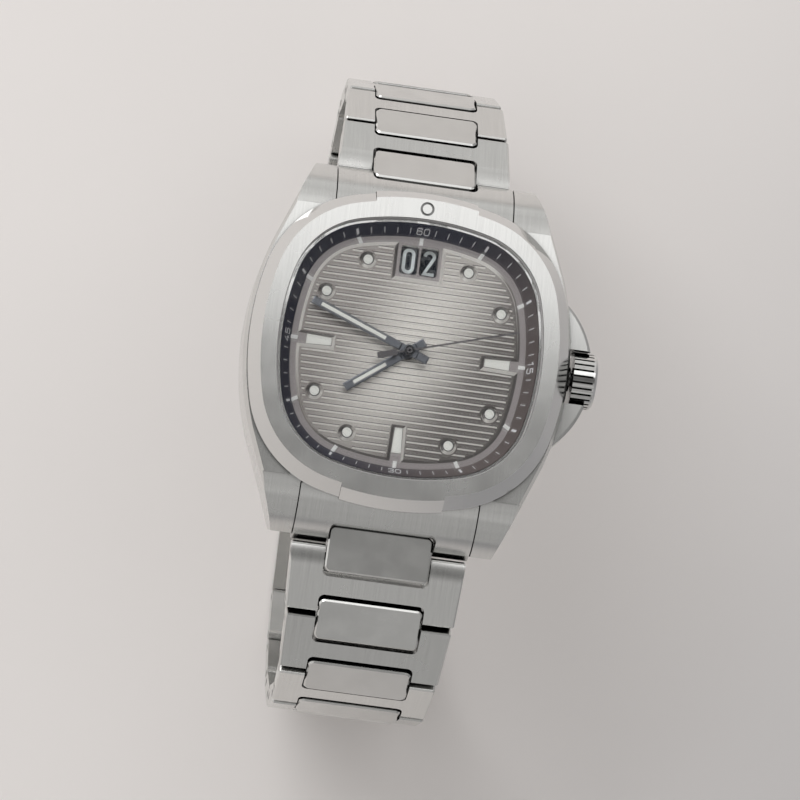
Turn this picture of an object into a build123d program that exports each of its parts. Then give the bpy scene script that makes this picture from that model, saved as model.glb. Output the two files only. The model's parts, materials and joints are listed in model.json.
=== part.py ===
from build123d import *
from math import sin, cos, asin, radians, degrees, atan2, hypot, sqrt
import os

# A cushion case watch on a jointed steel bracelet, standing on its clasp with the dial up.
# X runs to 3 o'clock, Y to 12 o'clock and Z up. The origin is the point of the clasp's
# resting face that lies under the dial's centre. Heights in the head are measured from the
# floor of the dial's middle field, and the bracelet is laid out from the end links' pins.

# Shared clearances
cut_overrun = 1.0
running_fit = 0.04
seat_gap = 0.05
face_gap = 0.15

# Cushion outline: the opening of the bezel, from which the other outlines are offset
opening_half_width = 16.18
opening_half_height = 16.10
opening_side_radius = 31.8
opening_corner_radius = 10.1

# Bezel
bezel_top_height = 3.38
bezel_seat_height = 0.6
bezel_rim = 0.6
bezel_top_band = 1.94
bezel_flank_reach = 3.34
bezel_lobe_half_width = 6.3
bezel_lobe_top = 0.5
bezel_lobe_foot = 0.27
bezel_ledge = 0.48
bezel_ledge_height = 2.55
bezel_mark_place = 17.33
bezel_mark_radius = 0.86
bezel_mark_disc = 0.58
bezel_mark_depth = 0.3

# Crystal and its gasket
crystal_thickness = 0.95
crystal_gasket_wall = 0.12
crystal_gasket_height = 0.6
crystal_edge = 0.12

# Chapter ring
ring_inner_inset = 1.8
ring_outer_inset = 0.54

# Dial
track_height = 0.35
dial_rim_inset = 1.1
dial_thickness = 0.95
field_edge_inset = 2.55
field_bevel = 0.36
rib_pitch = 0.81
rib_place_share = 0.57
rib_width = 0.32
rib_height = 0.1
rib_crest = 0.08
rib_edge_gap = 0.3
rib_end_gap = 0.16
pip_circle_radius = 12.44
pip_radius = 0.58
marker_inner_place = 9.45
marker_length = 3.05
marker_inner_width = 0.88
marker_outer_width = 1.18
marker_rim = 0.1
marker_seat_depth = 0.2
marker_proud = 0.04
date_centre_place = 11.4
date_window_width = 2.2
date_window_height = 3.6
date_mullion = 0.24
date_corner = 0.36
date_rim = 0.4
dial_centre_hole = 0.86

# Date discs
date_disc_thickness = 0.22
date_disc_inner_radius = 8.8
date_disc_outer_radius = 13.7
date_disc_gap = 0.12
tens_positions = 4

# Hands
hour_hand_length = 9.0
hour_hand_tail = 2.35
hour_hand_width = 1.05
minute_hand_length = 13.25
minute_hand_tail = 2.6
minute_hand_width = 1.0
seconds_hand_length = 13.6
seconds_hand_tail = 3.95
seconds_hand_width = 0.2
seconds_tail_width = 0.75
seconds_tail_length = 2.4
hand_thickness = 0.2
hour_hand_height = 0.8
minute_hand_height = 1.3
seconds_hand_height = 1.8
hub_cap_height = 0.28
seconds_arbor_radius = 0.16
cannon_wall = 0.26
hour_tube_wall = 0.24
hub_margin = 0.16
hour_hand_turn = 233.0
minute_hand_turn = 291.0
seconds_hand_turn = 73.0

# Movement
plate_overreach = 0.4
plate_thickness = 0.8
plate_boss_radius = 8.6
hour_wheel_radius = 3.6
hour_wheel_thickness = 0.2
centre_wheel_radius = 3.6
centre_wheel_thickness = 0.22
seconds_wheel_radius = 1.9
wheel_gap = 0.2
barrel_radius = 5.0
barrel_thickness = 1.1
barrel_x = -6.2
barrel_y = -3.5
balance_radius = 4.1
balance_rim = 0.55
balance_spoke = 0.5
balance_thickness = 0.3
balance_x = 5.6
balance_y = -5.4
arbor_radius = 0.35
bridge_thickness = 0.7
bridge_drop = 2.75
bridge_radius = 11.9
balance_bridge_reach = 3.2
balance_bridge_half_width = 1.2
pillar_radius = 1.1
pillar_circle = 10.2
pillar_turns = (90.0, 158.0, 264.0)
ring_wall_clearance = 0.1
rotor_radius = 12.4
plate_radius = rotor_radius + plate_overreach
rotor_thickness = 0.45
rotor_rim_width = 2.6
rotor_rim_thickness = 0.95
rotor_gap = 0.25
rotor_hub_radius = 2.2
rotor_post_radius = 0.9
rotor_arm_width = 2.4
balance_rest_turn = 35.0

# Middle case
case_half_width = 20.0
case_side_radius = 36.4
case_waist_y = 11.7
lug_tip_x = 13.62
lug_tip_y = 23.09
lug_shoulder_y = 16.8
lug_shoulder_height = 0.3
lug_crown_y = 20.75
lug_crown_height = -1.75
lug_tip_height = -5.3
lug_foot_height = -8.3
lug_foot_inset = 0.5
lug_heel_y = 18.6
case_floor_height = -7.2
case_bevel_width = 0.4
case_bevel_drop = 1.1
cavity_outset = -0.42
cavity_floor_height = -5.5
lug_gap_half_width = 11.05
lug_gap_back_y = 17.45
strap_bar_y = 20.0
strap_bar_height = -4.4
strap_bar_radius = 0.6
strap_bar_tip_radius = 0.4
strap_bar_tip_length = 1.1

# Crown, its guards and its stem
crown_height = -3.0
crown_radius = 3.42
crown_inner_x = 20.35
crown_length = 2.95
crown_ring = 0.5
crown_flutes = 28
crown_flute_width = 0.26
crown_flute_depth = 0.3
crown_cap_bevel = 0.3
guard_tip_x = 22.4
guard_tip_y = 3.37
guard_root_y = 8.9
guard_root_x = 18.9
guard_bulge = 0.35
guard_top_height = -0.75
guard_foot_height = -5.3
guard_edge = 0.35
tube_radius = 1.5
stem_radius = 0.8
stem_inner_x = 9.5

# Caseback
back_radius = 17.0
back_flange = 0.8
back_spigot_radius = 15.2
back_spigot_length = 0.7
back_window_radius = 12.0
back_window_ledge = 0.8
back_window_thickness = 0.75
back_bevel = 0.3
back_screw_circle = 16.1
back_screw_count = 6
back_screw_head_radius = 0.62
back_screw_head_height = 0.4
back_screw_shank_radius = 0.38
back_screw_length = 1.6
back_screw_slot = 0.18
back_gasket_width = 0.25
back_gasket_height = 0.3

# Bracelet
end_pin_y = 22.5
end_pin_height = -6.95
end_lip_y = 21.55
end_lip_foot = -4.8
centre_pitch = 2.6
link_pitch = 5.75
link_half_thickness = 1.35
link_near_reach = 1.5
link_far_reach = 0.9
first_link_drop = 0.6
first_link_run = 2.6
link_end_fillet = 0.25
link_side_edge = 0.18
link_corner = 0.3
bracelet_half_width = 10.95
bracelet_taper = 0.062
bracelet_least_half_width = 9.6
centre_half_width = 6.4
centre_near_reach = 1.03
centre_far_reach = 1.73
first_centre_near_reach = 1.35
centre_proud = 0.12
centre_corner = 0.75
centre_edge = 0.2
notch_side_gap = 0.15
notch_back_gap = 0.22
notch_front_gap = 0.45
pin_radius = 0.5
pin_inset = 0.3
first_centre_slope_12 = 44.0
first_centre_slope_6 = 12.0
slopes_12 = (36.0, 50.0, 70.0, 93.3, 123.0, 148.2, 163.2)
slopes_6 = (19.0, 44.0, 70.0, 91.9, 111.1, 131.1, 154.2)

# Clasp
cover_top = 0.25
cover_gap = 0.3
cover_tongue_gap = 0.25
cover_edge = 0.3
arm_pivot_y = 4.0
arm_pivot_height = 0.93
arm_half_width = 5.0
arm_half_thickness = 0.4
arm_knuckle_radius = 0.58
arm_pin_radius = 0.32
arm_to_link_gap = 4.9
ear_width = 1.0
ear_base = 1.3
plate_sheet = 0.8
plate_lift = 0.5
plate_neck = 1.2
wing_length = 3.0
catch_half_length = 2.6
catch_half_width = 7.3
catch_floor_gap = 0.1
catch_height = 2.2
hook_half_width = 1.4
hook_thickness = 0.6
hook_y = 1.4
hook_height = 1.2
pusher_height = 1.4
pusher_radius = 0.65
pusher_inner_x = 3.4
pusher_cap_radius = 0.9
pusher_cap_length = 1.5
pusher_rest_gap = 0.7


def chain(slopes, first_slope):
    """Places of the pins of one half of the bracelet, and the slope of each piece between them."""
    places = [(end_pin_y, end_pin_height)]
    turns = []
    before = 0.0
    for number, slope in enumerate(slopes):
        centre_slope = (before + slope) / 2 if number else first_slope
        for pitch, turn in ((centre_pitch, centre_slope), (link_pitch, slope)):
            y, z = places[-1]
            places.append((y + pitch * cos(radians(turn)), z - pitch * sin(radians(turn))))
            turns.append(turn)
        before = slope
    return places, turns


pins_12, turns_12 = chain(slopes_12, first_centre_slope_12)
pins_6, turns_6 = chain(slopes_6, first_centre_slope_6)

# The clasp lies between the last pins of the two halves, and its outer face is the resting face
last_12 = pins_12[-1]
last_6 = (-pins_6[-1][0], pins_6[-1][1])
clasp_half = hypot(last_12[0] - last_6[0], last_12[1] - last_6[1]) / 2
clasp_tilt = degrees(atan2(last_12[1] - last_6[1], last_12[0] - last_6[0]))
clasp_y = (last_12[0] + last_6[0]) / 2
dial_height = link_half_thickness - (last_12[1] + last_6[1]) / 2


def level(height):
    """The horizontal plane at a height in the head."""
    return Plane.XY.offset(dial_height + height)


def across(x=0.0, y=0.0, height=0.0):
    """A plane square to X, with Y to the right and Z up."""
    return Plane(origin=(x, y, dial_height + height), x_dir=(0, 1, 0), z_dir=(1, 0, 0))


def link_frame(side, place, turn):
    """The plane of a link: its origin on the near pin, Y along the bracelet, Z outward."""
    y, z = place
    lean = radians(turn)
    return Plane(origin=(0, side * y, dial_height + z), x_dir=(side, 0, 0),
                 z_dir=(0, side * sin(lean), cos(lean)))


def clasp_frame(side):
    """The plane of one half of the clasp: Y from the last pins' middle outward, Z to the wrist."""
    lean = radians(clasp_tilt)
    return Plane(origin=(0, clasp_y, link_half_thickness), x_dir=(side, 0, 0),
                 z_dir=(0, -sin(lean), cos(lean)))


def beside(frame, x=0.0):
    """The side view plane of a frame: Y of the frame to the right and its Z up."""
    return Plane(origin=frame.from_local_coords(Vector(x, 0, 0)), x_dir=frame.y_dir, z_dir=frame.x_dir)


def raised(frame, height):
    """A frame lifted along its own Z."""
    return frame.offset(height)


def corner_place(half_width, half_height, side_radius, corner_radius):
    """Centre of the corner arc that is tangent inside the side arc and the end arc."""
    ax, by = half_width - side_radius, half_height - side_radius
    reach = side_radius - corner_radius
    span = hypot(ax, by)
    rise = sqrt(reach ** 2 - (span / 2) ** 2)
    return ax / 2 + rise * -by / span, by / 2 + rise * -ax / span


def cushion(grow, extra_height=0.0, mode=Mode.ADD):
    """Draw the cushion outline in the open sketch, offset outward from the bezel's opening."""
    half_width = opening_half_width + grow
    half_height = opening_half_height + grow + extra_height
    side_radius = opening_side_radius + grow
    corner_radius = opening_corner_radius + grow
    corner_x, corner_y = corner_place(half_width, half_height, side_radius, corner_radius)
    side_x, end_y = half_width - side_radius, half_height - side_radius
    side_turn = degrees(atan2(corner_y, corner_x - side_x))
    end_turn = degrees(atan2(corner_y - end_y, corner_x))
    with BuildLine() as outline:
        CenterArc((side_x, 0), side_radius, -side_turn, 2 * side_turn)
        CenterArc((corner_x, corner_y), corner_radius, side_turn, end_turn - side_turn)
        CenterArc((0, end_y), side_radius, end_turn, 180 - 2 * end_turn)
        CenterArc((-corner_x, corner_y), corner_radius, 180 - end_turn, end_turn - side_turn)
        CenterArc((-side_x, 0), side_radius, 180 - side_turn, 2 * side_turn)
        CenterArc((-corner_x, -corner_y), corner_radius, 180 + side_turn, end_turn - side_turn)
        CenterArc((0, -end_y), side_radius, 180 + end_turn, 180 - 2 * end_turn)
        CenterArc((corner_x, -corner_y), corner_radius, 360 - end_turn, end_turn - side_turn)
    make_face(outline.edges(), mode=mode)


def finish(name, solid):
    """Label a piece and write it to its own file."""
    solid.label = name
    export_step(solid, f"parts/{name}.step")


# Head: bezel, crystal, gaskets and chapter ring

def bezel():
    """Brushed cushion ring with a steep polished flank, wider at 12 and 6, and a round mark at 12."""
    flank_foot = bezel_seat_height + bezel_rim
    with BuildPart() as ring:
        with BuildSketch(level(bezel_seat_height)):
            cushion(bezel_flank_reach)
        extrude(amount=bezel_rim)
        with BuildSketch(level(flank_foot)):
            cushion(bezel_flank_reach)
        with BuildSketch(level(bezel_top_height)):
            cushion(bezel_top_band)
        loft(ruled=True)
    with BuildPart() as lobes:
        with BuildSketch(level(bezel_seat_height)):
            cushion(bezel_flank_reach, bezel_lobe_foot)
        extrude(amount=bezel_rim)
        with BuildSketch(level(flank_foot)):
            cushion(bezel_flank_reach, bezel_lobe_foot)
        with BuildSketch(level(bezel_top_height)):
            cushion(bezel_top_band, bezel_lobe_top)
        loft(ruled=True)
        with BuildSketch(level(bezel_seat_height)):
            Rectangle(2 * bezel_lobe_half_width, 4 * opening_half_height)
        extrude(amount=bezel_top_height - bezel_seat_height, mode=Mode.INTERSECT)
    with BuildPart() as piece:
        add(ring.part)
        add(lobes.part)
        with BuildSketch(level(bezel_ledge_height)):
            cushion(0.0)
        extrude(amount=bezel_top_height - bezel_ledge_height + cut_overrun, mode=Mode.SUBTRACT)
        with BuildSketch(level(bezel_seat_height - cut_overrun)):
            cushion(-bezel_ledge)
        extrude(amount=bezel_ledge_height - bezel_seat_height + 2 * cut_overrun, mode=Mode.SUBTRACT)
        with BuildSketch(level(bezel_top_height)):
            with Locations((0, bezel_mark_place)):
                Circle(bezel_mark_radius)
                Circle(bezel_mark_disc, mode=Mode.SUBTRACT)
        extrude(amount=-bezel_mark_depth, mode=Mode.SUBTRACT)
    finish("bezel", piece.part)


def crystal():
    """Flat sapphire plate with a bevelled edge, seated on the bezel's ledge."""
    base = bezel_ledge_height
    inset = -crystal_gasket_wall - seat_gap
    with BuildPart() as piece:
        with BuildSketch(level(base)):
            cushion(inset)
        extrude(amount=crystal_thickness)
        chamfer(piece.faces().sort_by(Axis.Z)[-1].edges(), crystal_edge)
    finish("crystal", piece.part)


def gaskets():
    """Ring round the crystal's edge, and the ring between the caseback and the case."""
    with BuildPart() as piece:
        with BuildSketch(level(bezel_ledge_height)):
            cushion(-seat_gap / 2)
            cushion(-crystal_gasket_wall, mode=Mode.SUBTRACT)
        extrude(amount=crystal_gasket_height)
        with BuildSketch(level(case_floor_height)):
            Circle(back_spigot_radius - seat_gap)
            Circle(back_spigot_radius - seat_gap - back_gasket_width, mode=Mode.SUBTRACT)
        extrude(amount=back_gasket_height)
    finish("gaskets", piece.part)


def chapter_ring():
    """Sloping ring between the dial's track and the crystal, which carries the minute scale."""
    top = bezel_ledge_height - seat_gap
    with BuildPart() as piece:
        with BuildSketch(level(track_height)):
            cushion(-ring_outer_inset)
        extrude(amount=top - track_height)
        with BuildSketch(level(track_height)):
            cushion(-ring_inner_inset)
        with BuildSketch(level(top)):
            cushion(-ring_outer_inset - seat_gap)
        loft(ruled=True, mode=Mode.SUBTRACT)
    finish("chapter_ring", piece.part)


# Dial and markers

def pip_places():
    """The eight round markers, one at each hour but 12, 3, 6 and 9."""
    turns = [radians(30 * hour) for hour in (1, 2, 4, 5, 7, 8, 10, 11)]
    return [(pip_circle_radius * sin(turn), pip_circle_radius * cos(turn)) for turn in turns]


def marker_outline(margin, far_margin, mode=Mode.ADD):
    """Draw the three tapered markers, which point away from the dial's centre at 3, 6 and 9."""
    near = marker_inner_place - margin
    far = marker_inner_place + marker_length + far_margin
    near_half = marker_inner_width / 2 + margin
    far_half = marker_outer_width / 2 + margin
    corners = [Vector(near, -near_half), Vector(far, -far_half), Vector(far, far_half),
               Vector(near, near_half)]
    for turn in (0, 180, 270):
        with BuildLine() as outline:
            Polyline(*[corner.rotate(Axis.Z, turn) for corner in corners], close=True)
        make_face(outline.edges(), mode=mode)


def date_window_places():
    """Centres of the two date windows, tens on the left."""
    shift = (date_window_width + date_mullion) / 2
    return [(-shift, date_centre_place), (shift, date_centre_place)]


def field_half_width(y):
    """Half width of the dial's middle field at a height y, less the margin of the grooves."""
    grow = -field_edge_inset - field_bevel
    half_width, half_height = opening_half_width + grow, opening_half_height + grow
    side_radius, corner_radius = opening_side_radius + grow, opening_corner_radius + grow
    corner_x, corner_y = corner_place(half_width, half_height, side_radius, corner_radius)
    side_x = half_width - side_radius
    side_top = side_radius * corner_y / hypot(corner_x - side_x, corner_y)
    if abs(y) <= side_top:
        return side_x + sqrt(side_radius ** 2 - y ** 2) - rib_edge_gap
    return corner_x + sqrt(max(corner_radius ** 2 - (abs(y) - corner_y) ** 2, 0)) - rib_edge_gap


def raised_outlines(margin, mode=Mode.ADD):
    """Draw the raised places of the field: a boss at each pip, and arms of the track for the rest."""
    track_edge = opening_half_height - field_edge_inset
    arm_reach = track_edge + 2 * field_bevel
    date_half_width = date_window_width + date_mullion / 2 + date_rim
    date_foot = date_centre_place - date_window_height / 2 - date_rim
    with Locations(pip_places()):
        Circle(pip_radius + marker_rim + margin, mode=mode)
    marker_outline(marker_rim + margin, arm_reach - marker_inner_place - marker_length, mode=mode)
    with Locations((0, (arm_reach + date_foot - margin) / 2)):
        Rectangle(2 * (date_half_width + margin), arm_reach - date_foot + margin, mode=mode)


def ribs():
    """Raised ribs across the field, with sloping flanks, clear of the raised places."""
    field_reach = opening_half_height - field_edge_inset - field_bevel - rib_edge_gap
    rows = int(field_reach / rib_pitch)
    foot = rib_width / 2
    crest = rib_crest / 2
    with BuildPart() as piece:
        for row in range(-rows - 1, rows + 1):
            y = (row + rib_place_share) * rib_pitch
            if abs(y) < field_reach:
                with BuildSketch(across(0, y, 0)):
                    with BuildLine() as outline:
                        Polyline((-foot, -rib_height), (foot, -rib_height), (foot, 0), (crest, rib_height),
                                 (-crest, rib_height), (-foot, 0), close=True)
                    make_face(outline.edges())
                extrude(amount=field_half_width(y), both=True)
        with BuildSketch(level(-rib_height - cut_overrun)):
            raised_outlines(field_bevel + rib_end_gap)
            Circle(dial_centre_hole + rib_end_gap)
        extrude(amount=2 * (rib_height + cut_overrun), mode=Mode.SUBTRACT)
    return piece.part


def dial():
    """Dial plate: outer track, ribbed field, raised marker places and two date windows."""
    flank_turn = degrees(atan2(field_bevel, track_height))
    with BuildPart() as piece:
        with BuildSketch(level(track_height)):
            cushion(-dial_rim_inset)
        extrude(amount=-dial_thickness)
        with BuildSketch(level(track_height)):
            cushion(-field_edge_inset)
        with BuildSketch(level(0)):
            cushion(-field_edge_inset - field_bevel)
        loft(ruled=True, mode=Mode.SUBTRACT)
        add(ribs())
        with BuildSketch(level(0)):
            raised_outlines(field_bevel)
        extrude(amount=track_height, taper=flank_turn)
        with BuildSketch(level(track_height - marker_seat_depth)):
            with Locations(pip_places()):
                Circle(pip_radius + seat_gap)
            marker_outline(seat_gap, seat_gap)
        extrude(amount=marker_seat_depth + cut_overrun, mode=Mode.SUBTRACT)
        with BuildSketch(level(track_height - dial_thickness - cut_overrun)):
            with Locations(date_window_places()):
                RectangleRounded(date_window_width, date_window_height, date_corner)
            Circle(dial_centre_hole)
        extrude(amount=dial_thickness + 2 * cut_overrun, mode=Mode.SUBTRACT)
    finish("dial", piece.part)


def hour_markers():
    """Eight round and three tapered blocks of pale luminous compound, seated in the dial."""
    with BuildPart() as piece:
        with BuildSketch(level(track_height - marker_seat_depth)):
            with Locations(pip_places()):
                Circle(pip_radius)
            marker_outline(0.0, 0.0)
        extrude(amount=marker_seat_depth + marker_proud)
    finish("hour_markers", piece.part)


# Date discs

tens_disc_top = track_height - dial_thickness - date_disc_gap
units_disc_top = tens_disc_top - date_disc_thickness - date_disc_gap
plate_top = units_disc_top - date_disc_thickness - date_disc_gap


def date_disc_units():
    """Ring of the units figures, which shows through the right window."""
    with BuildPart() as piece:
        with BuildSketch(level(units_disc_top)):
            Circle(date_disc_outer_radius)
            Circle(date_disc_inner_radius, mode=Mode.SUBTRACT)
        extrude(amount=-date_disc_thickness)
    finish("date_disc_units", piece.part)


def date_disc_tens():
    """Ring of the tens figures, with an aperture beside each one for the units figure below."""
    window_x, window_y = date_window_places()[1]
    window_turn = degrees(atan2(window_y, window_x))
    aperture_width = date_window_width + date_mullion
    aperture_height = date_window_height + 2 * date_mullion
    with BuildPart() as piece:
        with BuildSketch(level(tens_disc_top)):
            Circle(date_disc_outer_radius)
            Circle(date_disc_inner_radius, mode=Mode.SUBTRACT)
            with PolarLocations(hypot(window_x, window_y), tens_positions, start_angle=window_turn):
                Rectangle(aperture_width, aperture_height, rotation=-window_turn, mode=Mode.SUBTRACT)
        extrude(amount=-date_disc_thickness)
    finish("date_disc_tens", piece.part)


# Hands, each with the tube or arbor that carries it

arbor_bore = seconds_arbor_radius + running_fit
cannon_radius = arbor_bore + cannon_wall
cannon_bore = cannon_radius + running_fit
hour_tube_radius = cannon_bore + hour_tube_wall
hour_wheel_top = plate_top + tens_disc_top - units_disc_top
centre_wheel_top = plate_top - plate_thickness - wheel_gap
seconds_wheel_top = centre_wheel_top - centre_wheel_thickness - wheel_gap


def hand_blade(turn, height, length, tail, width):
    """Add the blade of a baton hand that points at a clockwise angle from 12 o'clock."""
    with BuildSketch(level(height).rotated((0, 0, 90 - turn))) as blade:
        with Locations(((length - tail) / 2, 0)):
            Rectangle(length + tail, width)
    extrude(blade.sketch, amount=hand_thickness)


def hour_hand():
    """Hour hand on its tube, with the hour wheel at the foot of the tube."""
    with BuildPart() as piece:
        hand_blade(hour_hand_turn, hour_hand_height, hour_hand_length, hour_hand_tail, hour_hand_width)
        with BuildSketch(level(hour_hand_height)):
            Circle(hour_tube_radius + hub_margin)
        extrude(amount=hand_thickness)
        with BuildSketch(level(hour_hand_height + hand_thickness)):
            Circle(hour_tube_radius)
        extrude(amount=hour_wheel_top - hour_wheel_thickness - hour_hand_height - hand_thickness)
        with BuildSketch(level(hour_wheel_top)):
            Circle(hour_wheel_radius)
        extrude(amount=-hour_wheel_thickness)
        with BuildSketch(level(hour_hand_height + hand_thickness + cut_overrun)):
            Circle(cannon_bore)
        foot = hour_wheel_top - hour_wheel_thickness - hour_hand_height - hand_thickness
        extrude(amount=foot - 2 * cut_overrun, mode=Mode.SUBTRACT)
    finish("hour_hand", piece.part)


def minute_hand():
    """Minute hand on the cannon pinion, with the centre wheel at its foot."""
    with BuildPart() as piece:
        hand_blade(minute_hand_turn, minute_hand_height, minute_hand_length, minute_hand_tail,
                   minute_hand_width)
        with BuildSketch(level(minute_hand_height)):
            Circle(cannon_radius + 2 * hub_margin)
        extrude(amount=hand_thickness)
        with BuildSketch(level(minute_hand_height + hand_thickness)):
            Circle(cannon_radius)
        extrude(amount=centre_wheel_top - centre_wheel_thickness - minute_hand_height - hand_thickness)
        with BuildSketch(level(centre_wheel_top)):
            Circle(centre_wheel_radius)
        extrude(amount=-centre_wheel_thickness)
        with BuildSketch(level(minute_hand_height + hand_thickness + cut_overrun)):
            Circle(arbor_bore)
        foot = centre_wheel_top - centre_wheel_thickness - minute_hand_height - hand_thickness
        extrude(amount=foot - 2 * cut_overrun, mode=Mode.SUBTRACT)
    finish("minute_hand", piece.part)


def seconds_hand():
    """Seconds hand with its counterweight and cap, on the arbor of the seconds wheel."""
    with BuildPart() as piece:
        hand_blade(seconds_hand_turn, seconds_hand_height, seconds_hand_length, seconds_hand_tail,
                   seconds_hand_width)
        with BuildSketch(level(seconds_hand_height).rotated((0, 0, 90 - seconds_hand_turn))):
            with Locations((-seconds_hand_tail + seconds_tail_length / 2, 0)):
                Rectangle(seconds_tail_length, seconds_tail_width)
        extrude(amount=hand_thickness)
        with BuildSketch(level(seconds_hand_height)):
            Circle(cannon_radius + hub_margin)
        extrude(amount=hub_cap_height)
        with BuildSketch(level(seconds_hand_height)):
            Circle(seconds_arbor_radius)
        extrude(amount=seconds_wheel_top - seconds_hand_height)
        with BuildSketch(level(seconds_wheel_top)):
            Circle(seconds_wheel_radius)
        extrude(amount=-centre_wheel_thickness)
    finish("seconds_hand", piece.part)


# Movement

bridge_top = plate_top - bridge_drop
bridge_floor = bridge_top - bridge_thickness
movement_hole = hour_tube_radius + running_fit


def main_plate():
    """Main plate with the boss that guides the date discs and the recess of the hour wheel."""
    boss_top = track_height - dial_thickness
    with BuildPart() as piece:
        with BuildSketch(level(plate_top)):
            Circle(plate_radius)
        extrude(amount=-plate_thickness)
        with BuildSketch(level(plate_top)):
            Circle(plate_boss_radius)
        extrude(amount=boss_top - plate_top)
        with BuildSketch(level(boss_top + cut_overrun)):
            Circle(hour_wheel_radius + wheel_gap)
        extrude(amount=hour_wheel_top - hour_wheel_thickness - wheel_gap - boss_top - cut_overrun,
                mode=Mode.SUBTRACT)
        with BuildSketch(level(boss_top + cut_overrun)):
            Circle(movement_hole)
        extrude(amount=-boss_top + plate_top - plate_thickness - 2 * cut_overrun, mode=Mode.SUBTRACT)
        with BuildSketch(level(plate_top - plate_thickness - cut_overrun)):
            with Locations((barrel_x, barrel_y), (balance_x, balance_y)):
                Circle(arbor_radius + running_fit)
        extrude(amount=plate_thickness + cut_overrun - wheel_gap, mode=Mode.SUBTRACT)
    finish("main_plate", piece.part)


def mainspring_barrel():
    """Drum of the mainspring with its toothed rim plain, on its own arbor."""
    with BuildPart() as piece:
        with BuildSketch(level(bridge_top + wheel_gap)):
            with Locations((barrel_x, barrel_y)):
                Circle(barrel_radius)
        extrude(amount=barrel_thickness)
        with BuildSketch(level(plate_top - plate_thickness + wheel_gap)):
            with Locations((barrel_x, barrel_y)):
                Circle(arbor_radius)
        extrude(amount=bridge_floor + wheel_gap - plate_top + plate_thickness - wheel_gap)
        fillet(piece.faces().filter_by(Plane.XY).sort_by(Axis.Z)[-2].edges().sort_by(SortBy.LENGTH)[-1],
               wheel_gap)
    finish("mainspring_barrel", piece.part)


def balance_wheel():
    """Balance wheel: a rim, two spokes and a staff."""
    height = (plate_top - plate_thickness + bridge_top) / 2
    with BuildPart() as piece:
        with BuildSketch(level(height)):
            with Locations((balance_x, balance_y)):
                Circle(balance_radius)
                Circle(balance_radius - balance_rim, mode=Mode.SUBTRACT)
                Rectangle(2 * balance_radius - balance_rim, balance_spoke, rotation=balance_rest_turn)
                Circle(2 * arbor_radius)
        extrude(amount=balance_thickness)
        with BuildSketch(level(plate_top - plate_thickness + wheel_gap)):
            with Locations((balance_x, balance_y)):
                Circle(arbor_radius)
        extrude(amount=bridge_floor + wheel_gap - plate_top + plate_thickness - wheel_gap)
    finish("balance_wheel", piece.part)


def bridges():
    """Train bridge and balance bridge on their pillars, and the post of the rotor."""
    pillar_height = plate_top - plate_thickness - bridge_top
    with BuildPart() as piece:
        with BuildSketch(level(bridge_floor)):
            Circle(bridge_radius)
            with Locations((balance_x, balance_y)):
                Circle(balance_radius + pillar_radius, mode=Mode.SUBTRACT)
            with Locations((bridge_radius, balance_y)):
                Rectangle(2 * balance_x, 2 * balance_radius, mode=Mode.SUBTRACT)
            with Locations((barrel_x, barrel_y)):
                Circle(arbor_radius + running_fit, mode=Mode.SUBTRACT)
        extrude(amount=bridge_thickness)
        with BuildSketch(level(bridge_top)):
            for turn in pillar_turns:
                with PolarLocations(pillar_circle, 1, start_angle=turn):
                    Circle(pillar_radius)
        extrude(amount=pillar_height)
        with BuildSketch(level(bridge_floor)):
            with Locations((balance_x + (balance_bridge_reach + pillar_radius) / 2, balance_y)):
                RectangleRounded(balance_bridge_reach + 3 * pillar_radius, 2 * balance_bridge_half_width,
                                 pillar_radius)
            with Locations((balance_x, balance_y)):
                Circle(arbor_radius + running_fit, mode=Mode.SUBTRACT)
        extrude(amount=bridge_thickness)
        with BuildSketch(level(bridge_top)):
            with Locations((balance_x + balance_radius + pillar_radius / 2 + wheel_gap, balance_y)):
                Circle(pillar_radius / 2)
        extrude(amount=pillar_height)
        with BuildSketch(level(bridge_floor)):
            Circle(rotor_post_radius)
        extrude(amount=-rotor_gap - rotor_thickness - wheel_gap)
    finish("bridges", piece.part)


def movement_ring():
    """Spacer that centres the round movement in the cushion cavity."""
    with BuildPart() as piece:
        with BuildSketch(level(cavity_floor_height)):
            cushion(cavity_outset - ring_wall_clearance)
            Circle(plate_radius + running_fit, mode=Mode.SUBTRACT)
        extrude(amount=plate_top - cavity_floor_height)
        with BuildSketch(across(0, 0, crown_height)):
            Circle(stem_radius + running_fit)
        extrude(amount=case_half_width, mode=Mode.SUBTRACT)
    finish("movement_ring", piece.part)


def rotor():
    """Self-winding rotor: a half disc with a heavy rim that turns on the bridge's post."""
    top = bridge_floor - rotor_gap
    with BuildPart() as piece:
        with BuildSketch(level(top)):
            Circle(rotor_radius)
            Circle(rotor_radius - rotor_rim_width, mode=Mode.SUBTRACT)
            with Locations((0, rotor_radius)):
                Rectangle(2 * rotor_radius, 2 * rotor_radius, mode=Mode.SUBTRACT)
        extrude(amount=-rotor_rim_thickness)
        with BuildSketch(level(top)):
            with Locations((0, -(rotor_radius - rotor_rim_width) / 2)):
                Rectangle(rotor_arm_width, rotor_radius - rotor_rim_width / 2)
            Circle(rotor_hub_radius)
        extrude(amount=-rotor_thickness)
        with BuildSketch(level(top + cut_overrun)):
            Circle(rotor_post_radius + running_fit)
        extrude(amount=-rotor_thickness - 2 * cut_overrun, mode=Mode.SUBTRACT)
    finish("rotor", piece.part)


# Middle case

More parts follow.
